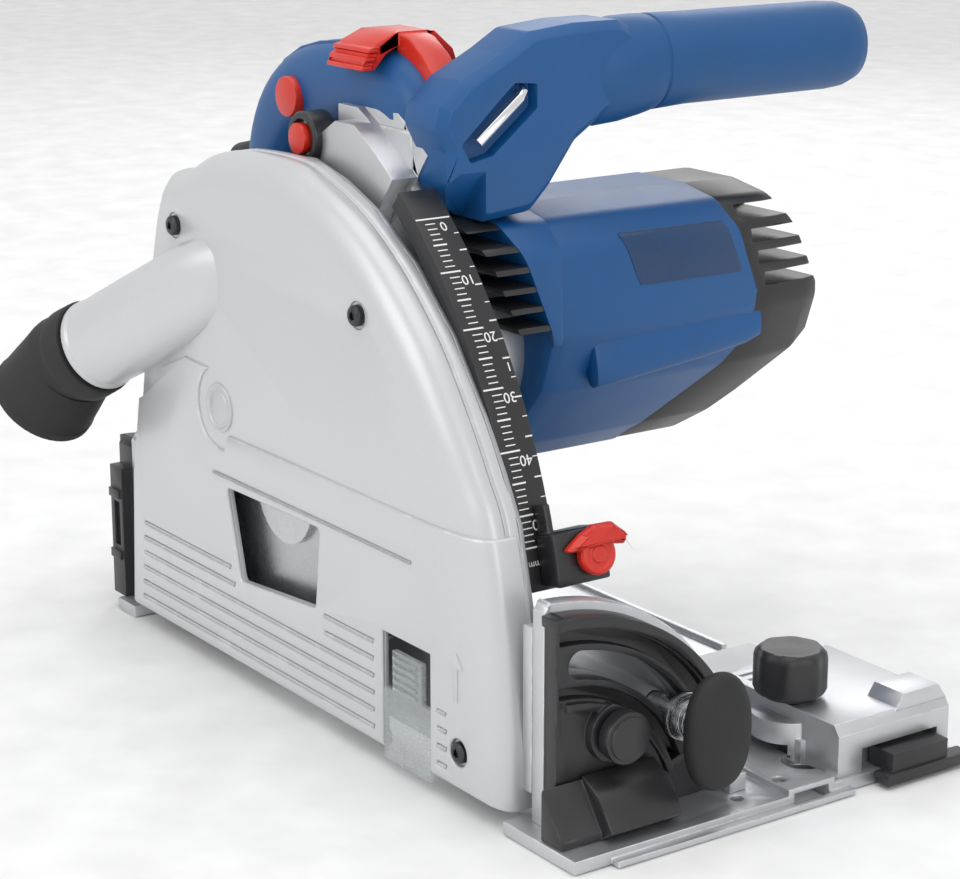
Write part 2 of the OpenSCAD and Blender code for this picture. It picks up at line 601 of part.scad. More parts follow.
// ---------- spindle and blade ----------
module spindle() color([0.5, 0.5, 0.52]) difference() {
  union() {
    bar_y(arbor, 6, guard_in - 3, 13);
    bar_y(arbor, 9.9, blade_y + 1, blade_y + 4);
    bar_y(arbor, 6, blade_y + 3.9, guard_in);
  }
  bar_y(arbor, 3, blade_y - 9, blade_y + 14);
}
module blade() color([0.62, 0.63, 0.65]) {
  n = 36;
  r = blade_d / 2;
  along_y(blade_y - 0.8, blade_y + 0.8) difference() {
    translate(arbor) difference() {
      polygon([for (i = [0:n - 1]) for (p = [[r - 0.3, 0], [r - 7, 0.6], [r - 7.5, 3.4],
        [r - 3.5, 6.2], [r - 1.2, 9.6]]) p[0] * [cos(p[1] + i * 360 / n), sin(p[1] + i * 360 / n)]]);
      circle(10);
      for (a = [20:90:300]) rotate(a) translate([r * 0.62, 0]) circle(2.4);
      for (a = [20:90:300]) rotate(a) translate([r * 0.62, -0.4]) square([r * 0.3, 0.8]);
    }
  }
  // Carbide tips
  along_y(blade_y - 1.1, blade_y + 1.1) translate(arbor)
    for (i = [0:n - 1]) rotate(i * 360 / n) polygon([[r - 5.5, -0.1], [r, 0.1], [r - 0.4, 2.2], [r - 5, 1.6]]);
}
module flanges() color([0.45, 0.45, 0.47]) {
  difference() {
    bar_y(arbor, 21, blade_y + 0.8, blade_y + 3.6);
    bar_y(arbor, 9.9, blade_y, blade_y + 5);
  }
  difference() {
    bar_y(arbor, 21, blade_y - 3, blade_y - 0.8);
    bar_y(arbor, 3.2, blade_y - 5, blade_y);
  }
}
module blade_bolt() color([0.2, 0.2, 0.22]) difference() {
  union() {
    bar_y(arbor, 7, blade_y - 6, blade_y - 3);
    bar_y(arbor, 2.95, blade_y - 3.1, blade_y + 13);
  }
  along_y(blade_y - 7, blade_y - 4) translate(arbor) circle(3, $fn = 6);
}
module gear_wheel() color([0.55, 0.55, 0.57]) difference() {
  along_y(gear_y, gear_y + gear_w) translate(arbor) rotate(mesh_deg)
    gear_outline(teeth_wheel, 0.7, 1.0, 0.14);
  bar_y(arbor, 6, gear_y - 1, gear_y + gear_w + 1);
}
module idler_gear() color([0.55, 0.55, 0.57]) difference() {
  along_y(gear_y, gear_y + gear_w) translate(idler_c) rotate(mesh_deg + 180 / teeth_idler)
    gear_outline(teeth_idler, 0.7, 1.0, 0.14);
  bar_y(idler_c, 4 + fit, gear_y - 1, gear_y + gear_w + 1);
}
module idler_axle() color([0.6, 0.6, 0.62]) bar_y(idler_c, 4, box_low + 0.5, box_high - 1);

// ---------- motor ----------
module motor_shaft() color([0.55, 0.55, 0.57]) {
  bar_y(motor_c, 4, -12, motor_end + 6);
  along_y(gear_y, gear_y + gear_w) translate(motor_c) rotate(mesh_deg + 180)
    gear_outline(teeth_pinion, 0.7, 1.0, 0.14);
}
module ring_y(c, r_out, r_in, y1, y2) difference() {
  bar_y(c, r_out, y1, y2);
  bar_y(c, r_in, y1 - 1, y2 + 1);
}
core_y = motor_y + 26;
core_len = motor_len * 0.4;
module armature() color([0.5, 0.3, 0.15]) difference() {
  ring_y(motor_c, arm_r, 4, core_y, core_y + core_len);
  for (i = [0:11]) along_y(core_y - 1, core_y + core_len + 1) translate(motor_c) rotate(30 * i)
    translate([arm_r - 5, -0.9]) square([7, 1.8]);
}
com_y = core_y + core_len + 6;
module commutator() color([0.72, 0.42, 0.22]) difference() {
  ring_y(motor_c, 13, 4, com_y, com_y + 16);
  for (i = [0:11]) along_y(com_y - 1, com_y + 17) translate(motor_c) rotate(30 * i)
    translate([12.2, -0.3]) square([3, 0.6]);
}
module fan() color([0.15, 0.15, 0.16]) {
  y = motor_y + 4;
  ring_y(motor_c, 34, 4, y, y + 2);
  ring_y(motor_c, 9, 4, y + 1.9, y + 14);
  along_y(y + 1.9, y + 13) translate(motor_c)
    for (i = [0:10]) rotate(i * 360 / 11) translate([8, -0.8]) square([25, 1.6]);
}
module stator() color([0.35, 0.36, 0.38]) difference() {
  ring_y(motor_c, bore_r - 2, arm_r + 0.8, core_y, core_y + core_len);
  for (a = [0, 180]) along_y(core_y - 1, core_y + core_len + 1) translate(motor_c) rotate(a)
    sector([0, 0], arm_r + 4, bore_r - 9, -32, 32);
}
module brushes() color([0.75, 0.6, 0.25]) for (s = [-1, 1])
  difference() {
    box([motor_c[0] - 5, com_y + 3, motor_c[1] + (s > 0 ? 13.3 : -30)],
        [motor_c[0] + 5, com_y + 12, motor_c[1] + (s > 0 ? 30 : -13.3)]);
    bar_y(motor_c, 13.3, com_y, com_y + 16);
  }
module bearings() color([0.6, 0.61, 0.63]) {
  ring_y(arbor, 9, 6 + fit, guard_in - 3, guard_in + 5);
  ring_y(arbor, 9, 6 + fit, 5, 12.5);
  ring_y(motor_c, 8, 4 + fit, -13, -9);
  ring_y(motor_c, 11, 4 + fit, 8.5, 16);
  ring_y(motor_c, 10, 4 + fit, motor_end - 4, motor_end + 5);
}
q = motor_d / 112;
function mp(x, z) = motor_c + q * [x, z];
module motor_outline() polygon([mp(-45, 33), mp(-28, 50), mp(-2, 56), mp(26, 56), mp(45, 52),
  mp(56, 41), mp(57, 8), mp(49, -15), mp(27, -41), mp(15, -50), mp(-6, -54), mp(-33, -46), mp(-50, -22),
  mp(-52, 8)]);
// Oblique cut under the motor's far end
module tail_cut() translate([0, motor_end - 15, motor_c[1] - q * 56]) rotate([45, 0, 0])
  translate([-150, -30, -120]) cube([300, 300, 120]);
module motor_housing() color([0.03, 0.17, 0.36]) difference() {
  union() {
    difference() {
      along_y(motor_y, motor_end) motor_outline();
      bar_y(motor_c, bore_r, motor_y - 1, motor_end - 30);
      tail_cut();
    }
    // Ridge along the front face
    box([mp(54, 0)[0], motor_y + 20, mp(0, 5)[1]], [mp(58.5, 0)[0], motor_end - 24, mp(0, 10)[1]]);
  }
  bar_y(motor_c, 38, motor_end - 31, motor_end + 1);
  tail_cut();
  // Window for the intake grille
  box([mp(38, 0)[0], motor_y - 1, mp(0, -16)[1]], [mp(62, 0)[0], motor_y + 20 - gap, mp(0, 40)[1]]);
}
module front_grille() color([0.05, 0.05, 0.055]) difference() {
  intersection() {
    along_y(motor_y + 0.5, motor_y + 20 - gap - 0.2) difference() {
      motor_outline();
      translate(motor_c) circle(bore_r + 0.2);
    }
    box([mp(38, 0)[0] + 0.2, motor_y, mp(0, -16)[1] + 0.2], [mp(62, 0)[0], motor_y + 30, mp(0, 40)[1] - 0.2]);
  }
  for (i = [0:3]) box([mp(36, 0)[0], motor_y + 3, mp(0, -9 + 11 * i)[1]],
    [mp(70, 0)[0], motor_y + 17, mp(0, -5 + 11 * i)[1]]);
}
module end_cap() color([0.05, 0.05, 0.055]) difference() {
  union() {
    along_y(motor_end + 0.0, motor_end + 26) intersection() {
      motor_outline();
      translate(motor_c) square([300, 86 * q], center = true);
    }
  }
  tail_cut();
  bar_y(motor_c, 10, motor_end - 6, motor_end + 6.5);
  bar_y(motor_c, 30, motor_end - 1, motor_end + 0.5);
  // Cooling fins
  for (i = [0:4]) box([mp(20, 0)[0], motor_end + 6, mp(0, -28 + 14 * i)[1]],
    [mp(80, 0)[0], motor_end + 27, mp(0, -22 + 14 * i)[1]]);
  for (i = [0:4]) box([mp(-80, 0)[0], motor_end + 6, mp(0, -28 + 14 * i)[1]],
    [mp(-24, 0)[0], motor_end + 27, mp(0, -22 + 14 * i)[1]]);
}
module electronics() color([0.1, 0.3, 0.15])
  box([mp(-12, 0)[0], com_y + 15.2, mp(0, 18)[1]], [mp(12, 0)[0], motor_end - 6, mp(0, 30)[1]]);

// ---------- handles ----------
hr = handle_d / 2;
hy = 13;
grip_f = [-6 * k, hy, 241 * k];
grip_r = [-76 * k, hy, 237 * k];
heel = [-103 * k, hy, 206 * k];
toe = [-93 * k, hy + 2, 170 * k];
root_h = [-54 * k, hy + 3, 152 * k];
foot_f = [16 * k, hy, 212 * k];
module main_handle() color([0.03, 0.17, 0.36]) difference() {
  union() {
    rod(grip_f, grip_r, hr);
    translate(grip_r) sphere(hr + 0.3);
    rod(grip_r, heel, hr - 0.5);
    translate(heel) sphere(hr);
    rod(heel, toe, hr - 1.5);
    translate(toe) sphere(hr - 1);
    rod(toe, root_h, hr - 2.5);
    translate(grip_f) sphere(hr + 0.3);
    rod(grip_f, foot_f, hr - 1);
  }
  // Clear of the motor, the arm plate, the tower and the gear case
  along_y(motor_y, 300) motor_outline();
  along_y(-40, -6) arm_outline();
  along_y(-6.2, 30.1) tower_shape(235 * k + 0.1, 76);
  bar_y(motor_c, 40, 10, 80);
  front_trim();
  rod(gland_p, gland_p + [-22, 0, -5], 7.5);
  bar_y(dial_c, 8.6, hy - hr - 3, hy - hr + 6.4);
  // Wells for the switch, the trigger and the lock-off slide
  box([-64 * k, hy - 8, grip_r[2] - 2], [tower_rear - 1, hy + 8, grip_r[2] + 11]);
  box([-29 * k, hy - 7, grip_f[2]], [-1 * k, hy + 7, grip_f[2] + 30]);
  box([-72 * k, hy - 7.2, grip_r[2] - 30], [tower_rear - 1, hy + 7.2, grip_r[2] - 1]);
}
module switch_body() color([0.12, 0.12, 0.13])
  box([-62 * k, hy - 7.5, grip_r[2]], [tower_rear - 2, hy + 7.5, grip_r[2] + 10.5]);
trig_c = [-34 * k, grip_r[2] - 14];
module trigger() color([0.85, 0.13, 0.07]) {
  along_y(hy - 6.8, hy + 6.8) difference() {
    polygon([trig_c + [0, 5], trig_c + [-36 * k, 3], trig_c + [-34 * k, -9], trig_c + [-16 * k, -6], trig_c + [0, -5]]);
  }
}
module lockoff() color([0.85, 0.13, 0.07]) {
  top = grip_f[2] + hr + 0.6;
  box([-28 * k, hy - 6.6, grip_f[2] + 6], [-8 * k, hy + 6.6, top + 0.1]);
  box([-30 * k, hy - 27, top], [-6 * k, hy + 15, top + 3.5]);
  for (i = [0:3]) box([(-29 + 6 * i) * k, hy - 26, top + 3.4], [(-26 + 6 * i) * k, hy + 14, top + 6]);
}
dial_c = [grip_r[0] + 4, grip_r[2] - 2];
module speed_wheel() color([0.85, 0.13, 0.07]) bar_y(dial_c, 8, hy - hr - 1, hy - hr + 6);
module cord_gland() color([0.05, 0.05, 0.055]) {
  rod(gland_p, gland_p + [-22, 0, -5], 7.5);
}
gland_p = heel + [-hr + 3, 0, -2];
ax = 27 * k;
az = 252 * k;
ay = 68;
ar = aux_d / 2;
module aux_handle() color([0.03, 0.17, 0.36]) difference() {
  union() {
    along_x(ax - 14, ax + 13) polygon([[-2, 226 * k], [14, 210 * k], [44, 203 * k], [54, 208 * k],
      [ay + 6, az - ar], [ay + 12, az + ar * 0.8], [ay, az + ar - 1], [52, az + ar - 2],
      [32, 258 * k], [12, 240 * k]]);
    rod([ax, ay + 8, az], [ax, ay + 14 + 6, az], ar - 1);
  }
  along_y(motor_y - 8, 300) motor_outline();
  // Holder for the hex key
  box([ax + 8, key_y, 208 * k], [ax + 20, key_y + 6.4, 250 * k]);
  along_y(-6.2, 30.1) tower_shape(235 * k + 0.1, 76);
  main_clear();
  front_trim();
}
key_y = 38;
// What swings past the depth scale and its stop stays behind the tower's front face
module front_trim() {
  along_y(-40, 21) sector(pivot, 0, 420 * k, 0, tower_low);
  box([tower_rear, -40, 120 * k], [120 * k, -3.4, 320 * k]);
}
// The neck of the front handle meets the main handle here
module main_clear() {
  rod(grip_f, foot_f + 0.2 * (foot_f - grip_f), hr - 0.9);
  translate(grip_f) sphere(hr + 0.5);
}
module aux_joint() color([0.03, 0.18, 0.37]) {
  rod([ax, ay + 20, az], [ax, ay + aux_len - ar + 2, az], ar);
  translate([ax, ay + aux_len - ar + 2, az]) sphere(ar - 0.1);
}
module hex_key() color([0.75, 0.76, 0.78])
  box([ax + 8.4, key_y + 0.4, 212 * k], [ax + 16, key_y + 6, 249 * k]);

base_plate();
fence_platform();
front_bracket();
front_cover();
bevel_button();
foot_lever();
rear_bracket();
rear_cover();
fence_knob_front();
fence_knob_rear();
rail_cam_front();
rail_cam_rear();
rail_catch();
guard();
guard_plate();
guard_screws();
guard_badge();
dust_pipe();
dust_sleeve();
view_window();
depth_scale();
depth_stop();
depth_clamp();
tilt_frame();
tilt_bolts();
wing_knob_front();
wing_knob_rear();
pivot_shaft();
arm_casting();
gear_cover();
return_spring();
spindle_lock();
spindle();
blade();
flanges();
blade_bolt();
gear_wheel();
idler_gear();
idler_axle();
motor_shaft();
armature();
commutator();
fan();
stator();
brushes();
bearings();
motor_housing();
front_grille();
end_cap();
electronics();
main_handle();
trigger();
lockoff();
switch_body();
speed_wheel();
cord_gland();
aux_handle();
aux_joint();
hex_key();
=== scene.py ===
"""Track plunge saw: the visible surfaces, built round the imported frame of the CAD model."""

import json
import logging
import math
from dataclasses import dataclass
from enum import Enum
from typing import Any, Iterable, Sequence

import bmesh
import bpy
from mathutils import Matrix, Vector

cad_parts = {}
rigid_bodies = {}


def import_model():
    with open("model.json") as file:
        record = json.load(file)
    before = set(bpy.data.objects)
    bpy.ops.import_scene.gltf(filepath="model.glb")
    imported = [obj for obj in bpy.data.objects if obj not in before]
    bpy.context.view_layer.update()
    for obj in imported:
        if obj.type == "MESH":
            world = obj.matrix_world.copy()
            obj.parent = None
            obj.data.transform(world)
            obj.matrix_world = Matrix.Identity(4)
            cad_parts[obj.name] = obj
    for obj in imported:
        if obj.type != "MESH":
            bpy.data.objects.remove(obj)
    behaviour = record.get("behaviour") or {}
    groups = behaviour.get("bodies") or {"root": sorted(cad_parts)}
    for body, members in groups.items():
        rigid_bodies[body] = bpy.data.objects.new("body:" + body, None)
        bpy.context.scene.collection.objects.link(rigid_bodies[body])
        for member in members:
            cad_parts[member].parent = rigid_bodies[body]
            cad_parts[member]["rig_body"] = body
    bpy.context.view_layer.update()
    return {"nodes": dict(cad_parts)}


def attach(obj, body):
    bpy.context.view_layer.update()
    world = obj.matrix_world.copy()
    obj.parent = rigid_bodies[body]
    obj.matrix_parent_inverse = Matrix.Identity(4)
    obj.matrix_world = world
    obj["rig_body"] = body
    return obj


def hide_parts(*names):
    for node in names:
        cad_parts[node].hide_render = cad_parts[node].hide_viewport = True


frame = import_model()

LOG = logging.getLogger("saw")
MM = 0.001
Flat = Sequence[tuple[float, float]]
Ring = list[Vector]


class Axis(Enum):
    """The direction that a slab or a turned piece runs in, with the order of its flat coordinates."""

    X = (1, 2, 0)
    Y = (0, 2, 1)
    Z = (0, 1, 2)

    def point(self, u: float, v: float, along: float) -> Vector:
        """Puts a flat point and a height along the axis into space."""
        out = Vector((0.0, 0.0, 0.0))
        out[self.value[0]], out[self.value[1]], out[self.value[2]] = u, v, along
        return out


# ---------------------------------------------------------------- shader maths
class Sock:
    """An output socket that adds Math nodes when it is used in an expression."""

    def __init__(self, shade: "Shade", socket: bpy.types.NodeSocket) -> None:
        """Wraps a socket.

        Args:
            shade: The material that the socket belongs to.
            socket: The output socket.
        """
        self.shade = shade
        self.socket = socket

    def _math(self, operation: str, first: Any, second: Any = 0.0) -> "Sock":
        """Adds one Math node and returns its result."""
        return self.shade.node("ShaderNodeMath", {"operation": operation}, {0: first, 1: second})

    def __add__(self, other: Any) -> "Sock":
        """Sum."""
        return self._math("ADD", self, other)

    __radd__ = __add__

    def __sub__(self, other: Any) -> "Sock":
        """Difference."""
        return self._math("SUBTRACT", self, other)

    def __rsub__(self, other: Any) -> "Sock":
        """Difference, the other way round."""
        return self._math("SUBTRACT", other, self)

    def __mul__(self, other: Any) -> "Sock":
        """Product."""
        return self._math("MULTIPLY", self, other)

    __rmul__ = __mul__

    def clamp(self) -> "Sock":
        """This value kept between 0 and 1."""
        return self.shade.node("ShaderNodeClamp", {}, {"Value": self})


class Shade:
    """One material's node tree."""

    def __init__(self, name: str) -> None:
        """Starts an empty material with a Principled shader.

        Args:
            name: The material's name.
        """
        self.material = bpy.data.materials.new(name)
        self.material.use_nodes = True
        self.tree = self.material.node_tree
        self.tree.nodes.clear()
        self.out = self.tree.nodes.new("ShaderNodeOutputMaterial")
        self.bsdf = self.tree.nodes.new("ShaderNodeBsdfPrincipled")
        self.tree.links.new(self.bsdf.outputs[0], self.out.inputs["Surface"])

    def node(self, kind: str, settings: dict[str, Any], inputs: dict[Any, Any], output: Any = 0) -> Sock:
        """Adds one node.

        Args:
            kind: The node's type.
            settings: Its properties.
            inputs: Values or sockets by input name or number.
            output: The output that is wanted.

        Returns:
            The wanted output.
        """
        made = self.tree.nodes.new(kind)
        for key, value in settings.items():
            setattr(made, key, value)
        for key, value in inputs.items():
            self.feed(made.inputs[key], value)
        return Sock(self, made.outputs[output])

    def feed(self, target: bpy.types.NodeSocket, value: Any) -> None:
        """Links a socket to an input, or sets the input's value."""
        if isinstance(value, Sock):
            self.tree.links.new(value.socket, target)
        else:
            target.default_value = value

    def place(self, scale: tuple[float, float, float] = (1, 1, 1)) -> Sock:
        """Object coordinates, stretched by a scale."""
        spot = self.node("ShaderNodeTexCoord", {}, {}, "Object")
        return self.node("ShaderNodeMapping", {}, {"Vector": spot, "Scale": scale})

    def noise(self, size: float, detail: float = 3.0, stretch: tuple[float, float, float] = (1, 1,
                                                                                             1)) -> Sock:
        """Noise whose blobs are about size millimetres across."""
        return self.node("ShaderNodeTexNoise", {"noise_dimensions": "3D"},
                         {"Vector": self.place(stretch), "Scale": 1 / (size * MM), "Detail": detail})

    def blend(self, factor: Any, low: Any, high: Any) -> Sock:
        """A colour between low and high."""
        return self.node("ShaderNodeMix", {"data_type": "RGBA"}, {0: factor, 6: low, 7: high}, 2)

    def wear(self, size: float, bite: float) -> Sock:
        """Patches on the rounded edges, broken up by noise: rubbed wear, and on the plastics also a painted
        highlight.
        """
        edge = self.node("ShaderNodeAttribute", {"attribute_name": "wear"}, {}, "Fac")
        return (edge * (self.noise(size, 4.0) - bite) * 5.0).clamp()

    def bump(self, height: Sock, depth: float, strength: float = 1.0, under: Any = None) -> Sock:
        """A Bump node; depth is in millimetres."""
        inputs = {"Height": height, "Distance": depth * MM, "Strength": strength}
        if under is not None:
            inputs["Normal"] = under
        return self.node("ShaderNodeBump", {}, inputs)

    def close(self, **sockets: Any) -> bpy.types.Material:
        """Feeds the Principled shader and returns the material."""
        for key, value in sockets.items():
            self.feed(self.bsdf.inputs[key.replace("_", " ")], value)
        return self.material


def tint(colour: Sequence[float], share: float) -> tuple[float, float, float, float]:
    """A colour made lighter (share over 1) or darker, with alpha 1."""
    return tuple(min(1.0, c * share) for c in colour[:3]) + (1.0,)


# ---------------------------------------------------------------- finishes
@dataclass(frozen=True)
class Finish:
    """What all finishes share: a name and a base colour."""

    name: str
    colour: tuple[float, float, float]

    def build(self) -> bpy.types.Material:
        """Makes the material."""
        raise NotImplementedError

    def material(self) -> bpy.types.Material:
        """The material, made on first use."""
        return bpy.data.materials.get(self.name) or self.build()


@dataclass(frozen=True)
class Cast(Finish):
    """Cast light alloy: a pebbled skin, dull patches and rubbed bright edges."""

    metal: float = 0.85
    rough: float = 0.42
    pebble: float = 0.9
    depth: float = 0.05

    def build(self) -> bpy.types.Material:
        """Makes the cast alloy."""
        s = Shade(self.name)
        patch = s.noise(22, 4.0)
        skin = s.noise(self.pebble, 3.0)
        edge_patches = s.wear(6, 0.42)
        base = s.blend(patch, tint(self.colour, 0.86), tint(self.colour, 1.08))
        return s.close(Base_Color=s.blend(edge_patches, base, tint(self.colour, 1.3)), Metallic=self.metal,
                       Roughness=self.rough + (patch - 0.5) * 0.2 + (skin - 0.5) * 0.12 - edge_patches * 0.14,
                       Normal=s.bump(skin, self.depth, 1.0, s.bump(s.noise(9, 2.0), 0.04)))


@dataclass(frozen=True)
class Paint(Finish):
    """Silver enamel on a moulding: fine metal flakes, a faint orange peel and handling marks."""

    metal: float = 0.35
    rough: float = 0.38

    def build(self) -> bpy.types.Material:
        """Makes the silver paint."""
        s = Shade(self.name)
        flake = s.noise(0.28, 1.0)
        cloud = s.noise(45, 3.0)
        edge_patches = s.wear(8, 0.5)
        base = s.blend(flake, tint(self.colour, 0.9), tint(self.colour, 1.1))
        base = s.blend(cloud * 0.5, base, tint(self.colour, 0.92))
        scuff = s.noise(3, 5.0, (1, 1, 6))
        return s.close(Base_Color=s.blend(edge_patches, base, tint(self.colour, 1.18)), Metallic=self.metal,
                       Roughness=self.rough + (cloud - 0.5) * 0.12 + (scuff - 0.5) * 0.08,
                       Normal=s.bump(s.noise(2.4, 2.0), 0.012, 1.0, s.bump(flake, 0.006)),
                       Coat_Weight=0.25, Coat_Roughness=0.18)


@dataclass(frozen=True)
class Plastic(Finish):
    """Moulded plastic: spark-eroded grain, a soft gloss that varies, and paler edges, partly rubbed wear and
    partly a painted highlight.
    """

    rough: float = 0.45
    grain: float = 0.5
    depth: float = 0.03
    coat: float = 0.0
    # sheen: how far the edges are lightened, a painted highlight
    sheen: float = 1.9

    def build(self) -> bpy.types.Material:
        """Makes the plastic."""
        s = Shade(self.name)
        cloud = s.noise(35, 3.0)
        grain = s.noise(self.grain, 2.0)
        edge_patches = s.wear(7, 0.45)
        base = s.blend(cloud, tint(self.colour, 0.85), tint(self.colour, 1.12))
        # Edges lightened towards the colour times sheen: partly rubbed wear, partly a painted highlight.
        return s.close(Base_Color=s.blend(edge_patches * 0.6, base, tint(self.colour, self.sheen)),
                       Roughness=self.rough + (cloud - 0.5) * 0.16 + (grain - 0.5) * 0.1 - edge_patches * 0.08,
                       Normal=s.bump(grain, self.depth, 1.0, s.bump(s.noise(14, 2.0), 0.05)),
                       Coat_Weight=self.coat, Coat_Roughness=0.15)


@dataclass(frozen=True)
class Steel(Finish):
    """Machined or ground steel: fine lines across one direction, and faint staining."""

    rough: float = 0.25
    lines: tuple[float, float, float] = (1.0, 14.0, 1.0)

    def build(self) -> bpy.types.Material:
        """Makes the steel."""
        s = Shade(self.name)
        line = s.noise(2.5, 4.0, self.lines)
        stain = s.noise(18, 4.0)
        edge_patches = s.wear(5, 0.4)
        base = s.blend(stain, tint(self.colour, 0.85), tint(self.colour, 1.1))
        return s.close(Base_Color=s.blend(edge_patches, base, tint(self.colour, 1.25)), Metallic=0.95,
                       Roughness=self.rough + (line - 0.5) * 0.2 + (stain - 0.5) * 0.12,
                       Normal=s.bump(line, 0.01))


@dataclass(frozen=True)
class Rubber(Finish):
    """Soft matt rubber with a dry bloom and tiny pits."""

    rough: float = 0.62

    def build(self) -> bpy.types.Material:
        """Makes the rubber."""
        s = Shade(self.name)
        bloom = s.noise(16, 4.0)
        pits = s.noise(0.7, 3.0)
        base = s.blend(bloom, tint(self.colour, 0.8), tint(self.colour, 1.35))
        return s.close(Base_Color=s.blend(s.wear(6, 0.4) * 0.5, base, tint(self.colour, 2.4)),
                       Roughness=self.rough + (bloom - 0.5) * 0.25 + (pits - 0.5) * 0.1,
                       Normal=s.bump(pits, 0.03))


@dataclass(frozen=True)
class Clear(Finish):
    """Clear tinted plastic with faint scuffs."""

    alpha: float = 0.35

    def build(self) -> bpy.types.Material:
        """Makes the clear plastic."""
        s = Shade(self.name)
        scuff = s.noise(4, 5.0, (1, 1, 5))
        film = s.noise(18, 3.0)
        return s.close(Base_Color=s.blend(film, tint(self.colour, 0.85), tint(self.colour, 1.1)),
                       Roughness=0.12 + scuff * 0.14, Alpha=(self.alpha + (scuff - 0.5) * 0.2).clamp(),
                       Normal=s.bump(scuff, 0.01))


CAST = Cast("cast_alloy", (0.62, 0.63, 0.65))
CAST_DARK = Cast("cast_alloy_dark", (0.42, 0.43, 0.45), rough=0.5)
SILVER = Paint("silver_enamel", (0.60, 0.61, 0.62))
SILVER_LOW = Paint("silver_enamel_flank", (0.55, 0.56, 0.575), rough=0.42)
# sheen sets each plastic's painted edge highlight.
BLUE = Plastic("blue_moulding", (0.003, 0.082, 0.26), rough=0.42, grain=0.6, depth=0.03, sheen=1.4)
BLUE_GRIP = Plastic("blue_soft_grip", (0.003, 0.078, 0.24), rough=0.5, grain=0.9, depth=0.06, sheen=1.4)
BLACK = Plastic("black_moulding", (0.022, 0.022, 0.024), rough=0.36, grain=0.6, depth=0.04, sheen=4.0)
RED = Plastic("red_moulding", (0.62, 0.022, 0.008), rough=0.35, grain=0.5, coat=0.2, sheen=1.5)
RUBBER = Rubber("black_rubber", (0.012, 0.012, 0.013))
STEEL = Steel("ground_steel", (0.56, 0.57, 0.58))
STEEL_DARK = Steel("blackened_steel", (0.07, 0.07, 0.075), rough=0.35)
CHROME = Steel("polished_chrome", (0.78, 0.79, 0.80), rough=0.1, lines=(1, 4, 1))
GEAR_STEEL = Steel("gear_steel", (0.38, 0.38, 0.40), rough=0.3)
BLADE_STEEL = Steel("blade_steel", (0.48, 0.49, 0.5), rough=0.28, lines=(12, 1, 1))
BAND = Plastic("scale_band_black", (0.02, 0.02, 0.022), rough=0.38, grain=0.4, sheen=2.5)
WHITE = Plastic("white_print", (0.82, 0.82, 0.80), rough=0.5, grain=0.3, sheen=1.0)
GREEN_CAM = Plastic("green_cam", (0.03, 0.16, 0.06), rough=0.45, sheen=1.8)
COPPER = Steel("copper_winding", (0.55, 0.26, 0.12), rough=0.3, lines=(1, 20, 1))
BRASS = Steel("brass_holder", (0.6, 0.45, 0.18), rough=0.3)
BOARD = Plastic("green_circuit_board", (0.02, 0.12, 0.05), rough=0.4)
LABEL = Plastic("label_panel", (0.008, 0.045, 0.13), rough=0.28, grain=0.3, depth=0.01)
WINDOW = Clear("clear_window", (0.62, 0.66, 0.68))
FLOOR = Plastic("floor_pale", (0.90, 0.90, 0.90), rough=0.7, grain=0.4, depth=0.002, sheen=1.0)


# ---------------------------------------------------------------- modelling
def round_corners(points: Flat, radii: float | Sequence[float], steps: int = 5) -> list[tuple[float, float]]:
    """Rounds the corners of a closed flat outline.

    Args:
        points: The corners in order.
        radii: One radius for all corners, or one for each.
        steps: Points in each rounded corner, less one.

    Returns:
        The rounded outline.
    """
    count = len(points)
    each = [radii] * count if isinstance(radii, (int, float)) else list(radii)
    out: list[tuple[float, float]] = []
    for i, here in enumerate(points):
        a, b, c = Vector(points[i - 1]), Vector(here), Vector(points[(i + 1) % count])
        if each[i] <= 0:
            out.append((b.x, b.y))
            continue
        into, away = (a - b).normalized(), (c - b).normalized()
        half = max(into.angle(away) / 2, 0.05)
        reach = min(each[i] / math.tan(half), (a - b).length * 0.48, (c - b).length * 0.48)
        start, end = b + into * reach, b + away * reach
        for n in range(steps + 1):
            t = n / steps
            spot = start * (1 - t) ** 2 + b * 2 * t * (1 - t) + end * t * t
            out.append((spot.x, spot.y))
    return out


def section(centre: Vector, side: Vector, up: Vector, half_w: float, half_h: float, power: float = 2.0,
            count: int = 24) -> Ring:
    """A rounded cross-section (a superellipse).

    Args:
        centre: Its middle.
        side: Unit direction of its width.
        up: Unit direction of its height.
        half_w: Half its width.
        half_h: Half its height.
        power: 2 gives an ellipse, more gives a squarer shape.
        count: Points.

    Returns:
        The points in order.
    """
    out = []
    for i in range(count):
        a = 2 * math.pi * i / count
        c, s = math.cos(a), math.sin(a)
        u = math.copysign(abs(c) ** (2 / power), c) * half_w
        v = math.copysign(abs(s) ** (2 / power), s) * half_h
        out.append(centre + side * u + up * v)
    return out


def clear_selection() -> None:
    """Leaves object mode with nothing selected."""
    if bpy.context.object and bpy.context.object.mode != "OBJECT":
        bpy.ops.object.mode_set(mode="OBJECT")
    bpy.ops.object.select_all(action="DESELECT")


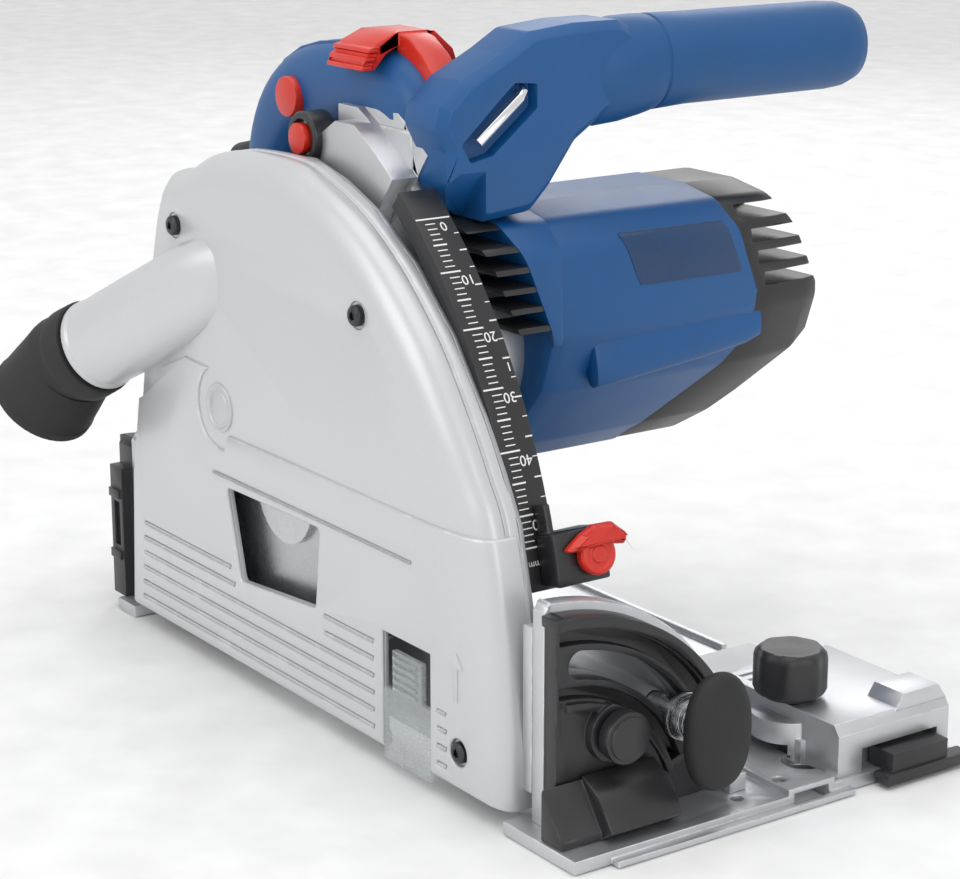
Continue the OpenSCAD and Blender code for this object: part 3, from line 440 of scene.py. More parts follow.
class Piece:
    """One mesh being shaped, in millimetres, until it is handed over in metres."""

    def __init__(self, obj: bpy.types.Object, name: str) -> None:
        """Takes hold of an object.

        Args:
            obj: The mesh object.
            name: The piece's name.
        """
        self.obj = obj
        obj.name = name
        obj.data.name = name
        self.front: list[int] = []

    def focus(self, edit: bool = False) -> None:
        """Makes this the only selected object, in edit mode if asked."""
        clear_selection()
        self.obj.select_set(True)
        bpy.context.view_layer.objects.active = self.obj
        if edit:
            bpy.ops.object.mode_set(mode="EDIT")
            bpy.ops.mesh.select_mode(type="VERT")

    @classmethod
    def ring(cls, name: str, points: Ring) -> "Piece":
        """Starts a piece from a circle whose points are moved to an outline."""
        clear_selection()
        bpy.ops.mesh.primitive_circle_add(vertices=len(points), radius=1.0)
        piece = cls(bpy.context.object, name)
        for vertex, point in zip(piece.obj.data.vertices, points):
            vertex.co = point
        piece.front = list(range(len(points)))
        return piece

    @classmethod
    def loft(cls, name: str, rings: Sequence[Ring], caps: tuple[bool, bool] = (True, True),
             closed: bool = False) -> "Piece":
        """Skins a row of rings that have the same number of points.

        Args:
            name: The piece's name.
            rings: The rings in order.
            caps: Whether the first and the last ring are filled.
            closed: Whether the last ring joins the first.

        Returns:
            The piece.
        """
        piece = cls.ring(name, rings[0])
        piece.focus(edit=True)
        if caps[0]:
            bpy.ops.mesh.select_all(action="SELECT")
            bpy.ops.mesh.edge_face_add()
        for ring in rings[1:]:
            piece.pull(ring)
        if caps[1]:
            piece.pick(piece.front)
            bpy.ops.mesh.edge_face_add()
        if closed:
            piece.pick(piece.front + list(range(len(rings[0]))))
            bpy.ops.mesh.bridge_edge_loops()
        bpy.ops.mesh.select_all(action="SELECT")
        bpy.ops.mesh.remove_doubles(threshold=0.0005)
        bpy.ops.mesh.normals_make_consistent(inside=False)
        bpy.ops.object.mode_set(mode="OBJECT")
        return piece

    def pick(self, indices: Iterable[int]) -> None:
        """Selects vertices by number, in edit mode."""
        mesh = bmesh.from_edit_mesh(self.obj.data)
        mesh.verts.ensure_lookup_table()
        wanted = set(indices)
        for part in (*mesh.faces, *mesh.edges, *mesh.verts):
            part.select = False
        for i in wanted:
            mesh.verts[i].select = True
        for edge in mesh.edges:
            if edge.is_boundary or edge.is_wire:
                if edge.verts[0].index in wanted and edge.verts[1].index in wanted:
                    edge.select = True
        bmesh.update_edit_mesh(self.obj.data)

    def pull(self, ring: Ring) -> None:
        """Extrudes the front ring and moves it to new places, in edit mode."""
        mesh = bmesh.from_edit_mesh(self.obj.data)
        mesh.verts.ensure_lookup_table()
        old = self.front
        before = len(mesh.verts)
        for part in (*mesh.faces, *mesh.edges, *mesh.verts):
            part.select = False
        for n, i in enumerate(old):
            mesh.verts[i].select = True
            shared = mesh.edges.get((mesh.verts[i], mesh.verts[old[n - 1]]))
            if shared:
                shared.select = True
        bmesh.update_edit_mesh(self.obj.data)
        bpy.ops.mesh.extrude_edges_move()
        mesh = bmesh.from_edit_mesh(self.obj.data)
        mesh.verts.ensure_lookup_table()
        fresh = []
        for i in old:
            for edge in mesh.verts[i].link_edges:
                other = edge.other_vert(mesh.verts[i])
                if other.index >= before:
                    fresh.append(other.index)
                    break
        for i, point in zip(fresh, ring):
            mesh.verts[i].co = point
        bmesh.update_edit_mesh(self.obj.data)
        self.front = fresh

    @classmethod
    def slab(cls, name: str, outline: Flat, axis: Axis, low: float, high: float) -> "Piece":
        """A flat outline carried from low to high along an axis."""
        return cls.loft(name, [[axis.point(u, v, h) for u, v in outline] for h in (low, high)])

    @classmethod
    def turned(cls, name: str, profile: Flat, centre: tuple[float, float], axis: Axis, count: int = 48,
               caps: tuple[bool, bool] = (True, True)) -> "Piece":
        """A turned piece: (height, radius) stations round a centre line."""
        rings = []
        for height, radius in profile:
            rings.append([axis.point(centre[0] + radius * math.cos(2 * math.pi * i / count),
                                     centre[1] + radius * math.sin(2 * math.pi * i / count), height)
                          for i in range(count)])
        return cls.loft(name, rings, caps)

    @classmethod
    def of_node(cls, node: str, name: str) -> "Piece":
        """A copy of a CAD node's mesh, merged, with its flat faces joined."""
        clear_selection()
        source = frame["nodes"][node]
        obj = bpy.data.objects.new(name, source.data.copy())
        bpy.context.scene.collection.objects.link(obj)
        obj.data.materials.clear()
        piece = cls(obj, name)
        piece.focus()
        obj.data.transform(Matrix.Scale(1 / MM, 4))
        bpy.ops.object.mode_set(mode="EDIT")
        bpy.ops.mesh.select_all(action="SELECT")
        bpy.ops.mesh.customdata_custom_splitnormals_clear()
        bpy.ops.mesh.remove_doubles(threshold=0.002)
        bpy.ops.mesh.dissolve_limited(angle_limit=math.radians(0.7))
        bpy.ops.object.mode_set(mode="OBJECT")
        return piece

    def measure(self) -> tuple[float, float]:
        """The mesh's drawn area and enclosed volume."""
        mesh = self.obj.data
        mesh.calc_loop_triangles()
        area = volume = 0.0
        for tri in mesh.loop_triangles:
            a, b, c = (mesh.vertices[i].co for i in tri.vertices)
            cross = (b - a).cross(c - a)
            area += cross.length / 2
            volume += a.dot(cross) / 6
        return area, volume

    def modifier(self, kind: str, **settings: Any) -> "Piece":
        """Adds one modifier and applies it."""
        self.focus()
        made = self.obj.modifiers.new(kind, kind)
        for key, value in settings.items():
            setattr(made, key, value)
        bpy.ops.object.modifier_apply(modifier=made.name)
        return self

    def cut(self, *tools: "Piece") -> "Piece":
        """Takes other pieces out of this one and removes them."""
        return self._join("DIFFERENCE", tools)

    def fuse(self, *others: "Piece") -> "Piece":
        """Unites other pieces with this one and removes them."""
        return self._join("UNION", others)

    def keep(self, tool: "Piece") -> "Piece":
        """Keeps only what lies inside another piece, and removes that one."""
        return self._join("INTERSECT", (tool,))

    def _join(self, operation: str, tools: Iterable["Piece"]) -> "Piece":
        """Runs one Boolean for each tool."""
        for tool in tools:
            self.modifier("BOOLEAN", operation=operation, object=tool.obj, solver="EXACT")
            bpy.data.objects.remove(tool.obj)
        return self

    def gather(self, *others: "Piece") -> "Piece":
        """Makes other pieces part of this mesh, without cutting."""
        self.focus()
        for other in others:
            other.obj.select_set(True)
        bpy.context.view_layer.objects.active = self.obj
        bpy.ops.object.join()
        return self

    def smooth(self, levels: int = 1) -> "Piece":
        """Subdivision surface."""
        return self.modifier("SUBSURF", levels=levels, render_levels=levels)

    def soften(self, width: float, segments: int = 2, angle: float = 32.0) -> "Piece":
        """Rounds the sharp edges and records where they are, so that finishes can wear there.

        Args:
            width: Bevel width in millimetres.
            segments: Faces across the rounding.
            angle: Edges sharper than this are rounded.

        Returns:
            This piece.
        """
        mesh = self.obj.data
        mesh.polygons.foreach_set("material_index", [0] * len(mesh.polygons))
        for name in ("cad_a", "cad_b"):
            mesh.materials.append(bpy.data.materials.get(name) or bpy.data.materials.new(name))
        self.modifier("BEVEL", width=width, segments=segments, limit_method="ANGLE",
                      angle_limit=math.radians(angle), use_clamp_overlap=False, material=1,
                      harden_normals=False)
        mesh = self.obj.data
        kept = [True] * len(mesh.vertices)
        for face in mesh.polygons:
            if face.material_index == 0:
                for i in face.vertices:
                    kept[i] = False
        layer = mesh.attributes.new("wear", "FLOAT", "POINT")
        layer.data.foreach_set("value", [1.0 if k else 0.0 for k in kept])
        mesh.polygons.foreach_set("material_index", [0] * len(mesh.polygons))
        mesh.materials.clear()
        return self

    def hand_over(self, body: str, finish: Finish, node: str = "", replaces: Sequence[str] = (),
                  angle: float = 38.0) -> bpy.types.Object:
        """Finishes the piece: metres, shading, material and body.

        Args:
            body: The CAD body that it rides on.
            finish: Its finish.
            node: Not used; it would be the material slot's name, which is a CAD node's name.
            replaces: CAD nodes that it stands for.
            angle: Edges flatter than this are shaded smooth.

        Returns:
            The finished object.
        """
        self.focus()
        bpy.ops.object.transform_apply(location=True, rotation=True, scale=True)
        self.obj.data.transform(Matrix.Scale(MM, 4))
        bpy.ops.object.shade_smooth_by_angle(angle=math.radians(angle))
        self.obj.data.materials.clear()
        self.obj.data.materials.append(finish.material())
        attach(self.obj, body)
        if replaces:
            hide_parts(*replaces)
        LOG.info("%s: %d faces on %s", self.obj.name, len(self.obj.data.polygons), body)
        return self.obj


def body_of(node: str) -> str:
    """The name of the body that a CAD node belongs to."""
    return frame["nodes"][node]["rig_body"]


def dress_inside(node: str, finish: Finish) -> None:
    """Gives a CAD node that keeps its own mesh a finish."""
    slots = frame["nodes"][node].data.materials
    slots.clear()
    slots.append(finish.material())


def soft_copy(node: str, finish: Finish, width: float) -> None:
    """Stands a round-edged copy in for a CAD node.

    Args:
        node: The CAD node.
        finish: The copy's finish.
        width: Edge rounding in millimetres.
    """
    for share in (1.0, 0.6, 0.35, 0.18, 0.08):
        piece = Piece.of_node(node, node + "_skin")
        area, volume = piece.measure()
        piece.soften(width * share)
        new_area, new_volume = piece.measure()
        if abs(new_area / area - 1) < 0.035 and abs(new_volume / volume - 1) < 0.02:
            break
        if share > 0.1:
            bpy.data.objects.remove(piece.obj)
    LOG.info("%s: edges rounded by %.2f mm", node, width * share)
    piece.hand_over(body_of(node), finish, node, (node,))


def flow(points: Flat, sub: int, corners: Iterable[int] = ()) -> list[tuple[float, float]]:
    """Draws a closed smooth line through points, with sharp turns where asked.

    Args:
        points: The points in order.
        sub: Steps between two points.
        corners: Numbers of the points where the line turns sharply.

    Returns:
        The finer outline.
    """
    sharp, count, out = set(corners), len(points), []
    for i in range(count):
        j = (i + 1) % count
        b, c = Vector(points[i]), Vector(points[j])
        a = b * 2 - c if i in sharp else Vector(points[i - 1])
        d = c * 2 - b if j in sharp else Vector(points[(i + 2) % count])
        for n in range(sub):
            t = n / sub
            spot = (b * 2 + (c - a) * t + (a * 2 - b * 5 + c * 4 - d) * t * t
                    + (b * 3 - a - c * 3 + d) * t ** 3) * 0.5
            out.append((spot.x, spot.y))
    return out


def inset(outline: Flat, by: float) -> list[tuple[float, float]]:
    """Moves a closed outline inwards (or outwards, if negative) by a distance."""
    count = len(outline)
    area = sum(outline[i - 1][0] * outline[i][1] - outline[i][0] * outline[i - 1][1] for i in range(count))
    way = 1.0 if area > 0 else -1.0
    out = []
    for i in range(count):
        a, b, c = Vector(outline[i - 1]), Vector(outline[i]), Vector(outline[(i + 1) % count])
        n1, n2 = Vector((-(b - a).y, (b - a).x)).normalized(), Vector((-(c - b).y, (c - b).x)).normalized()
        mid = (n1 + n2).normalized()
        reach = by / max(0.5, mid.dot(n1))
        spot = b + mid * reach * way
        out.append((spot.x, spot.y))
    return out


def between(first: Flat, second: Flat, share: float) -> list[tuple[float, float]]:
    """An outline part of the way from one to another."""
    return [(a[0] + (b[0] - a[0]) * share, a[1] + (b[1] - a[1]) * share) for a, b in zip(first, second)]


def block(name: str, low: Sequence[float], high: Sequence[float]) -> Piece:
    """A cutting tool or a core with six flat sides, from one corner to the other."""
    return Piece.slab(name, [(low[0], low[1]), (high[0], low[1]), (high[0], high[1]), (low[0], high[1])],
                      Axis.Z, low[2], high[2])


def span_of(node: str) -> tuple[Vector, Vector]:
    """The lowest and the highest corner of a CAD node, in millimetres."""
    corners = [Vector(corner) / MM for corner in frame["nodes"][node].bound_box]
    return (Vector(min(c[i] for c in corners) for i in range(3)),
            Vector(max(c[i] for c in corners) for i in range(3)))


@dataclass
class GuardShell:
    """The silver blade guard: shell, proud lower flank, badge ring, screws and the clear window's opening."""

    out_y: float = -40.5
    back_y: float = -22.0
    shoulder_y: float = -31.5
    wall: float = 2.5
    proud: float = 1.2
    steps: int = 7
    rim: Flat = ((-150, 7), (-147, 69), (-121, 188), (-97, 206), (-70, 216), (-25, 218), (-3, 213), (20, 204),
                 (44, 189), (69, 166), (88, 141), (100, 122), (109, 106), (118, 70), (124, 24), (124, 7))
    face: Flat = ((-148, 11), (-144, 68), (-118, 180), (-97, 194), (-70, 202), (-25, 203), (-6, 199),
                  (16, 190),
                  (43, 172), (60, 153), (72, 132), (80, 104), (87, 80), (104, 40), (108, 24), (108, 11))
    chip: Flat = ((-65, 81), (-55, 44), (3, 49), (7, 82))
    badge: tuple[float, float] = (-70, 113)
    screws: Flat = ((-104, 182), (34, 170), (100, 22))
    window_x: tuple[float, float] = (50, 82)
    window_z: float = 54

    def outlines(self) -> tuple[list[tuple[float, float]], list[tuple[float, float]]]:
        """The smooth rim and face outlines, with sharp turns at the foot."""
        feet = (0, 1, 14, 15)
        return flow(self.rim, 5, feet), flow(self.face, 5, feet)

    def shell(self) -> Piece:
        """The hollow shell, with its seam line and rounded shoulder."""
        rim, face = self.outlines()
        sunk = inset(rim, 1.0)
        rows = [(rim, self.back_y), (rim, -26.4), (sunk, -26.7), (sunk, -27.7), (rim, -28.0)]
        for n in range(self.steps + 1):
            turn = math.pi / 2 * n / self.steps
            rows.append((between(rim, face, 1 - math.cos(turn)),
                         self.shoulder_y + (self.out_y - self.shoulder_y) * math.sin(turn)))
        piece = Piece.loft("guard_shell", [[Axis.Y.point(u, v, y) for u, v in line] for line, y in rows])
        room = [(inset(rim, self.wall), self.back_y + 2), (inset(rim, self.wall), self.shoulder_y),
                (inset(face, self.wall), self.out_y + self.wall)]
        piece.cut(Piece.loft("room", [[Axis.Y.point(u, v, y) for u, v in line] for line, y in room]),
                  block("below", (-144, -37, -5), (116, -15, 30)))
        return piece

    def skin(self, name: str, grow: float, back: float) -> Piece:
        """The shell's outer solid, grown by a distance."""
        rim, face = self.outlines()
        rows = [(inset(rim, -grow), back)]
        for n in range(self.steps + 1):
            turn = math.pi / 2 * n / self.steps
            rows.append((inset(between(rim, face, 1 - math.cos(turn)), -grow),
                         self.shoulder_y - grow + (self.out_y - self.shoulder_y) * math.sin(turn)))
        return Piece.loft(name, [[Axis.Y.point(u, v, y) for u, v in line] for line, y in rows])

    def flank(self) -> Piece:
        """The lower half, which stands proud round the shoulder and is cut back round the badge."""
        x, z = self.badge
        ring = [(x + 17 * math.cos(math.radians(a)), z + 17 * math.sin(math.radians(a)))
                for a in range(118, 246, 12)]
        line = [(-165, -5), (-165, 102), (-137, 103), (-117, 117), (-117, 121), (-97, 129)] + ring
        line += [(-71, 96), (-66, 96), (-63, 103), (140, 103), (140, -5)]
        piece = self.skin("guard_flank", self.proud, -23.5)
        piece.keep(Piece.slab("limit", line, Axis.Y, -70, 0))
        return piece.cut(self.skin("core", -0.9, 0), block("below", (-144, -37, -5), (116, -15, 30)))

    def arrow(self) -> Piece:
        """A plain raised arrow that shows which way the guard lifts."""
        x, z, y = 99, 41, self.out_y - self.proud
        line = [(x - 1.1, z), (x + 1.1, z), (x + 1.1, z + 13), (x + 4, z + 13), (x, z + 19), (x - 4, z + 13),
                (x - 1.1, z + 13)]
        return Piece.slab("guard_arrow", line, Axis.Y, y - 0.5, y + 0.6)

    def openings(self) -> list[Piece]:
        """Tools for the chip window and the clear window's opening."""
        low, high = self.window_x
        return [Piece.slab("chip", round_corners(self.chip, 2.5), Axis.Y, self.out_y - 9, self.out_y + 7),
                block("gap", (low, self.out_y - 9, -5), (high, self.out_y + self.wall + 2, self.window_z))]

    def grooves(self) -> Piece:
        """The rows of long grooves on the flank, and the crease above the chip window."""
        low, high = self.out_y - 4, self.out_y - 0.35
        rows = []
        for i in range(6):
            z = 13 + 6.8 * i
            start = -141 + i * 0.7
            rows += [(start, 44, z)] if i < 4 else [(start, -60 - (i - 4) * 3, z), (9, 44, z)]
            if i < 4:
                rows.append((86, 92, z))
        bars = [Piece.slab("groove", [(a, z), (b, z), (b + 0.5, z + 1.5), (a + 0.5, z + 1.5)], Axis.Y, low,
                           high)
                for a, b, z in rows]
        bars.append(Piece.slab("crease", [(-75, 85), (70, 85), (70, 85.8), (-75, 85.8)], Axis.Y, low,
                               high - 0.5))
        return bars[0].gather(*bars[1:])

    def badge_ring(self) -> Piece:
        """The blank badge: a raised ring round a plain dished disc."""
        y = self.out_y
        profile = [(y + 0.4, 10.2), (y - 0.5, 10.2), (y - 0.9, 9.8), (y - 0.9, 8.6), (y - 0.4, 8.2),
                   (y - 0.4, 7.0),
                   (y - 0.85, 6.6), (y - 1.0, 3.0), (y - 1.02, 0.02)]
        return Piece.turned("badge_ring", profile, self.badge, Axis.Y, 56)

    def recess(self, place: tuple[float, float]) -> Piece:
        """The tool for one screw's sunk seat."""
        return Piece.turned("recess", [(self.out_y - 8, 5.2), (self.out_y + 1.0, 5.2)], place, Axis.Y, 32)

    def screw(self, name: str, place: tuple[float, float]) -> Piece:
        """A screw head with a six-lobed socket."""
        y = self.out_y
        head = Piece.turned(name, [(y + 2, 4.0), (y - 1.4, 4.0), (y - 2.1, 3.3), (y - 2.3, 2.0),
                                   (y - 2.35, 0.05)],
                            place, Axis.Y, 32)
        star = [(place[0] + (1.9 if n % 2 else 1.35) * math.cos(math.pi * n / 6),
                 place[1] + (1.9 if n % 2 else 1.35) * math.sin(math.pi * n / 6)) for n in range(12)]
        return head.cut(Piece.slab("star", star, Axis.Y, y - 4, y - 0.8))

    def build(self) -> None:
        """Builds and dresses the guard's pieces."""
        shell = self.shell().cut(*self.openings(), *(self.recess(place) for place in self.screws))
        shell.soften(0.7).hand_over("head", SILVER, "guard", ("guard",))
        flank = self.flank().cut(*self.openings(), self.grooves(), self.recess(self.screws[2]))
        flank.soften(0.9, 3).hand_over("head", SILVER, "guard")
        self.arrow().soften(0.2).hand_over("head", SILVER, "guard")
        heads = [self.screw(f"guard_screw_{n + 1}", p) for n, p in enumerate(self.screws)]
        for n, head in enumerate(heads):
            head.soften(0.25).hand_over("head", STEEL_DARK, "guard_screws",
                                        ("guard_screws",) if n == 0 else ())
        self.badge_ring().soften(0.25).hand_over("head", SILVER_LOW, "guard_badge", ("guard_badge",))


@dataclass
class DustPort:
    """The silver dust pipe and the black swivel sleeve on its end."""

    start: tuple[float, float, float] = (-76, -25, 168)
    pitch: float = 118
    lean: float = 19
    bend: float = 20
    pipe_end: float = 112
    radius: float = 19.2
    bore: float = 16.2
    port: float = 17.5

    def __post_init__(self) -> None:
        """Works out the pipe's three directions."""
        p, l, b = (math.radians(a) for a in (self.pitch, self.lean, self.bend))
        turn = Matrix.Rotation(l, 3, "Z")
        self.ahead = turn @ Vector((-math.sin(p), 0, math.cos(p)))
        self.top = turn @ Vector((math.cos(p), 0, math.sin(p)))
        self.side = turn @ Vector((0, 1, 0))
        self.mouth = self.ahead * math.cos(b) - self.top * math.sin(b)
        self.mouth_top = self.top * math.cos(b) + self.ahead * math.sin(b)

    def on_pipe(self, along: float, half: float, power: float = 2.0, count: int = 48) -> Ring:
        """A ring round the pipe's line."""
        return section(Vector(self.start) + self.ahead * along, self.side, self.top, half, half, power, count)

    def on_mouth(self, along: float, half: float, count: int = 48) -> Ring:
        """A ring round the sleeve's bent line."""
        knee = Vector(self.start) + self.ahead * self.pipe_end
        return section(knee + self.mouth * along, self.side, self.mouth_top, half, half, 2.0, count)

    def pipe(self) -> Piece:
        """The pipe: squarish near the guard, round at its end, with a bead and a bore."""
        rows = [(-22, 9, 2.0), (-8, 15, 2.4), (6, 18.6, 2.9), (20, 19.4, 3.0), (60, 19.2, 2.8),
                (84, 19.2, 2.3),
                (90, 19.2, 2.0), (91, 19.9, 2.0), (93.5, 19.9, 2.0), (94.2, 17.8, 2.0), (111.5, 17.8, 2.0),
                (111.5, self.bore, 2.0), (30, self.bore, 2.0)]
        return Piece.loft("dust_pipe_shell", [self.on_pipe(*row) for row in rows])

    def rib(self) -> Piece:
        """The mould line along the top of the pipe."""
        rows = []
        for along, height in ((8, 0.2), (16, 1.3), (70, 1.1), (84, 0.2)):
            spot = Vector(self.start) + self.ahead * along + self.top * (18.6 + height * 0.6) + self.side * 6
            rows.append(section(spot, self.side, self.top, 1.3, height + 0.4, 3.0, 12))
        return Piece.loft("dust_pipe_rib", rows)

    def sleeve(self) -> Piece:
        """The flared rubber sleeve with its collar band, knee, lip and bore."""
        rows = [self.on_pipe(along, half) for along, half in
                ((95.4, 20.4), (95.8, 20.9), (102, 21.1), (106, 21.1), (107, 20.2), (108.6, 20.2))]
        knee = Vector(self.start) + self.ahead * self.pipe_end
        for n in (0.35, 0.7):
            a = math.radians(self.bend) * n
            way = self.ahead * math.cos(a) - self.top * math.sin(a)
            up = self.top * math.cos(a) + self.ahead * math.sin(a)
            rows.append(section(knee + way * (n * 3 - 1), self.side, up, 20.6 + n * 0.4, 20.6 + n * 0.4, 2.0,
                                48))
        rows += [self.on_mouth(along, half) for along, half in
                 ((6, 21.3), (16, 22.3), (23.4, 22.9), (24, 23.4), (27.4, 23.4), (28, 22.9),
                 (28, self.port + 0.6),
                  (26.5, self.port), (4, self.port))]
        rows += [self.on_pipe(along, half) for along, half in ((106, 17.9), (95.4, 17.9))]
        return Piece.loft("dust_sleeve_skin", rows, closed=True, caps=(False, False))

    def build(self) -> None:
        """Builds and dresses the dust port."""
        self.pipe().soften(0.3).hand_over("head", SILVER, "dust_pipe", ("dust_pipe",))
        self.rib().hand_over("head", SILVER, "dust_pipe")
        self.sleeve().soften(0.35).hand_over("dust_sleeve", RUBBER, "dust_sleeve", ("dust_sleeve",))


@dataclass
class Handles:
    """Main handle with lock-off, neck, front grip and hex key."""

    across: float = 13
    grip: Flat = ((-38, 149), (-76, 157), (-93, 169), (-103, 188), (-102, 208), (-92, 228), (-74, 239),
                  (-48, 242),
                  (-22, 242.5), (-6, 241), (4, 233), (11, 223))
    half_w: Sequence[float] = (14.5, 15, 15.5, 16, 16.2, 16.2, 16.2, 16.2, 16.2, 16.2, 16.0, 15.5)
    half_h: Sequence[float] = (15, 15.5, 16, 16.8, 17.5, 18, 18, 17.4, 18.4, 19, 18, 16)
    neck_x: tuple[float, float] = (13, 40)
    neck: Flat = ((-8, 236), (-2.6, 226), (-2.0, 213), (4, 203.5), (13, 199), (35, 201), (44, 210), (56, 226),
                  (70, 235), (88, 240), (90, 262), (76, 270), (55, 270), (34, 268), (22, 261), (4, 252),
                  (-6, 243))
    recess: Flat = ((2, 229), (6, 222), (16, 224), (36, 240), (36, 249), (26, 250), (20, 245))
    stop_path: Flat = ((5, 150), (5, 178), (50, 230.2), (50, 150))
    stop_y: tuple[float, float] = (-40, 12.8)
    cowl: Flat = ((-3.6, 204), (12, 204), (12, 234), (4, 237), (-3.6, 231))
    bar_x: tuple[float, float] = (-31, -7)
    bar_outer: Flat = ((-10, 252), (-10, 255.6), (-5, 261.6), (4, 265.4), (22, 265.4), (30.5, 258),
                       (33.4, 250))
    bar_inner: Flat = ((29.5, 249), (26, 255.5), (20.5, 260.6), (6, 260.6), (0, 257.6), (-5, 252))
    stem_line: Flat = ((-9, 263.8), (-1, 262.4), (8, 257), (17, 249))
    stem_y: tuple[float, float] = (6, 18)
    key: Sequence[tuple[float, float, float]] = ((39, 9.5, 229), (39, 28.5, 244), (37.6, 31, 246),
                                                 (35, 32, 246.8),
                                                 (22, 32, 246.8))

    def main_handle(self) -> Piece:
        """The thick D-shaped handle as one smooth tube."""
        line, rows, count = self.grip, [], len(self.grip)
        for i in range(count):
            a, b = Vector(line[max(i - 1, 0)]), Vector(line[min(i + 1, count - 1)])
            way = (b - a).normalized()
            up = Vector((way.y, 0, -way.x)) * -1
            spot = Vector((line[i][0], self.across + (3 if i < 2 else 0), line[i][1]))
            rows.append(section(spot, Vector((0, 1, 0)), up, self.half_w[i], self.half_h[i], 2.5, 20))
        return Piece.loft("main_handle_skin", rows).smooth(2)

    def seam(self) -> Piece:
        """The raised line where the two handle halves meet, round the back of the handle."""
        rows = []
        for i in range(2, 9):
            a, b = Vector(self.grip[i - 1]), Vector(self.grip[i + 1])
            way = (b - a).normalized()
            out = Vector((-way.y, 0, way.x))
            spot = Vector((self.grip[i][0], self.across - 7, self.grip[i][1])) + out * (self.half_h[i] * 0.93)
            rows.append(section(spot, Vector((0, 1, 0)), out, 0.7, 1.0, 2.0, 8))
        return Piece.loft("handle_seam", rows).smooth(1)

    def neck_body(self) -> Piece:
        """The chamfered neck between the tower and the front grip."""
        low, high = self.neck_x
        chamfer = 3.6
        small = inset(self.neck, chamfer)
        rows = [(small, low), (self.neck, low + chamfer), (self.neck, high - chamfer), (small, high)]
        piece = Piece.loft("neck_body", [[Vector((x, u, v)) for u, v in round_corners(line, 6, 3)]
                                         for line, x in rows])
        piece.cut(Piece.slab("stop_path", self.stop_path, Axis.Y, *self.stop_y))
        return piece.cut(Piece.slab("well", round_corners(self.recess, 1.5, 3), Axis.X, high - 6, high + 6))

    def hex_key(self) -> Piece:
        """The bent hexagon key lying in the neck's recess."""
        path, rows = [Vector(p) for p in self.key], []
        for i, spot in enumerate(path):
            way = (path[min(i + 1, len(path) - 1)] - path[max(i - 1, 0)]).normalized()
            out = Vector((0, -0.62, 0.785))
            side = way.cross(out).normalized()
            rows.append([spot + (side * math.cos(a) + side.cross(way) * math.sin(a)) * 2.3
                         for a in (math.pi * n / 3 for n in range(6))])
        return Piece.loft("hex_key_bar", rows)

    def front_grip(self) -> Piece:
        """The round front grip, its collar line and domed end."""
        rows = []
        for y, z, w, h in ((62, 246, 11, 15), (70, 248.5, 14.5, 19.5), (80, 250, 16.9, 20.2),
                           (90, 251, 17.7, 19.4),
                           (95.2, 251.6, 17.9, 18.7), (95.6, 251.6, 17.2, 18), (96.6, 251.7, 17.2, 18),
                           (97, 251.7, 17.9, 18.6), (112, 252, 18, 18), (150, 252, 17.9, 17.9),
                           (186, 252, 17.8, 17.8),
                           (194, 252, 17.2, 17.2), (200, 252, 15.2, 15.2), (204, 252, 11, 11),
                           (205.6, 252, 5, 5)):
            rows.append(section(Vector((27, y, z)), Vector((1, 0, 0)), Vector((0, 0, 1)), w, h, 2.1, 48))
        return Piece.loft("front_grip", rows)

    def lock_off(self) -> Piece:
        """The T-shaped lock-off slide: a bar over the handle with a ribbed end, and a stem."""
        piece = Piece.slab("lock_off_bar", [*self.bar_outer, *self.bar_inner], Axis.X, *self.bar_x)
        near, far = self.stem_y
        piece.fuse(Piece.loft("stem", [[Vector((x, near, z - 8)), Vector((x, far, z - 8)),
                                        Vector((x, far, z + 1.6)), Vector((x, near, z + 1.6))]
                                       for x, z in self.stem_line]))
        for i in range(3):
            z, y = 252 + 3.2 * i, -11.4 + 1.5 * i
            piece.fuse(block("rib", (-31.6, y, z), (-6.4, y + 5, z + 1.9)))
        return piece

    def build(self) -> None:
        """Builds and dresses the handles."""
        self.main_handle().hand_over("arm", BLUE, "main_handle", ("main_handle",))
        self.seam().hand_over("arm", BLUE, "main_handle")
        self.neck_body().soften(0.35, 2).hand_over("arm", BLUE, "aux_handle", ("aux_handle",))
        self.front_grip().soften(0.25).hand_over("arm", BLUE_GRIP, "aux_joint", ("aux_joint",))
        self.lock_off().soften(0.7, 3).hand_over("lockoff", RED, "lockoff", ("lockoff",))
        fill = Piece.slab("tower_cowl", self.cowl, Axis.X, -22, 15)
        fill.soften(0.8, 3).hand_over("arm", CAST, "arm_casting")
        low, high = span_of("spindle_lock")
        middle = ((low.x + high.x) / 2, (low.z + high.z) / 2)
        ring = [(low.y + 3, 10.4), (low.y + 2.2, 9.8), (low.y + 2.2, 7.6), (low.y + 4, 7), (high.y, 7),
                (high.y, 10.4)]
        collar = Piece.loft("lock_collar", [[Axis.Y.point(middle[0] + r * math.cos(a),
                                                          middle[1] + r * math.sin(a), h)
                                             for a in (2 * math.pi * n / 48 for n in range(48))]
                                            for h, r in ring], (False, False), True)
        collar.soften(0.3).hand_over("arm", BLACK, "arm_casting")
        self.hex_key().soften(0.3).hand_over("hex_key", CHROME, "hex_key", ("hex_key",))


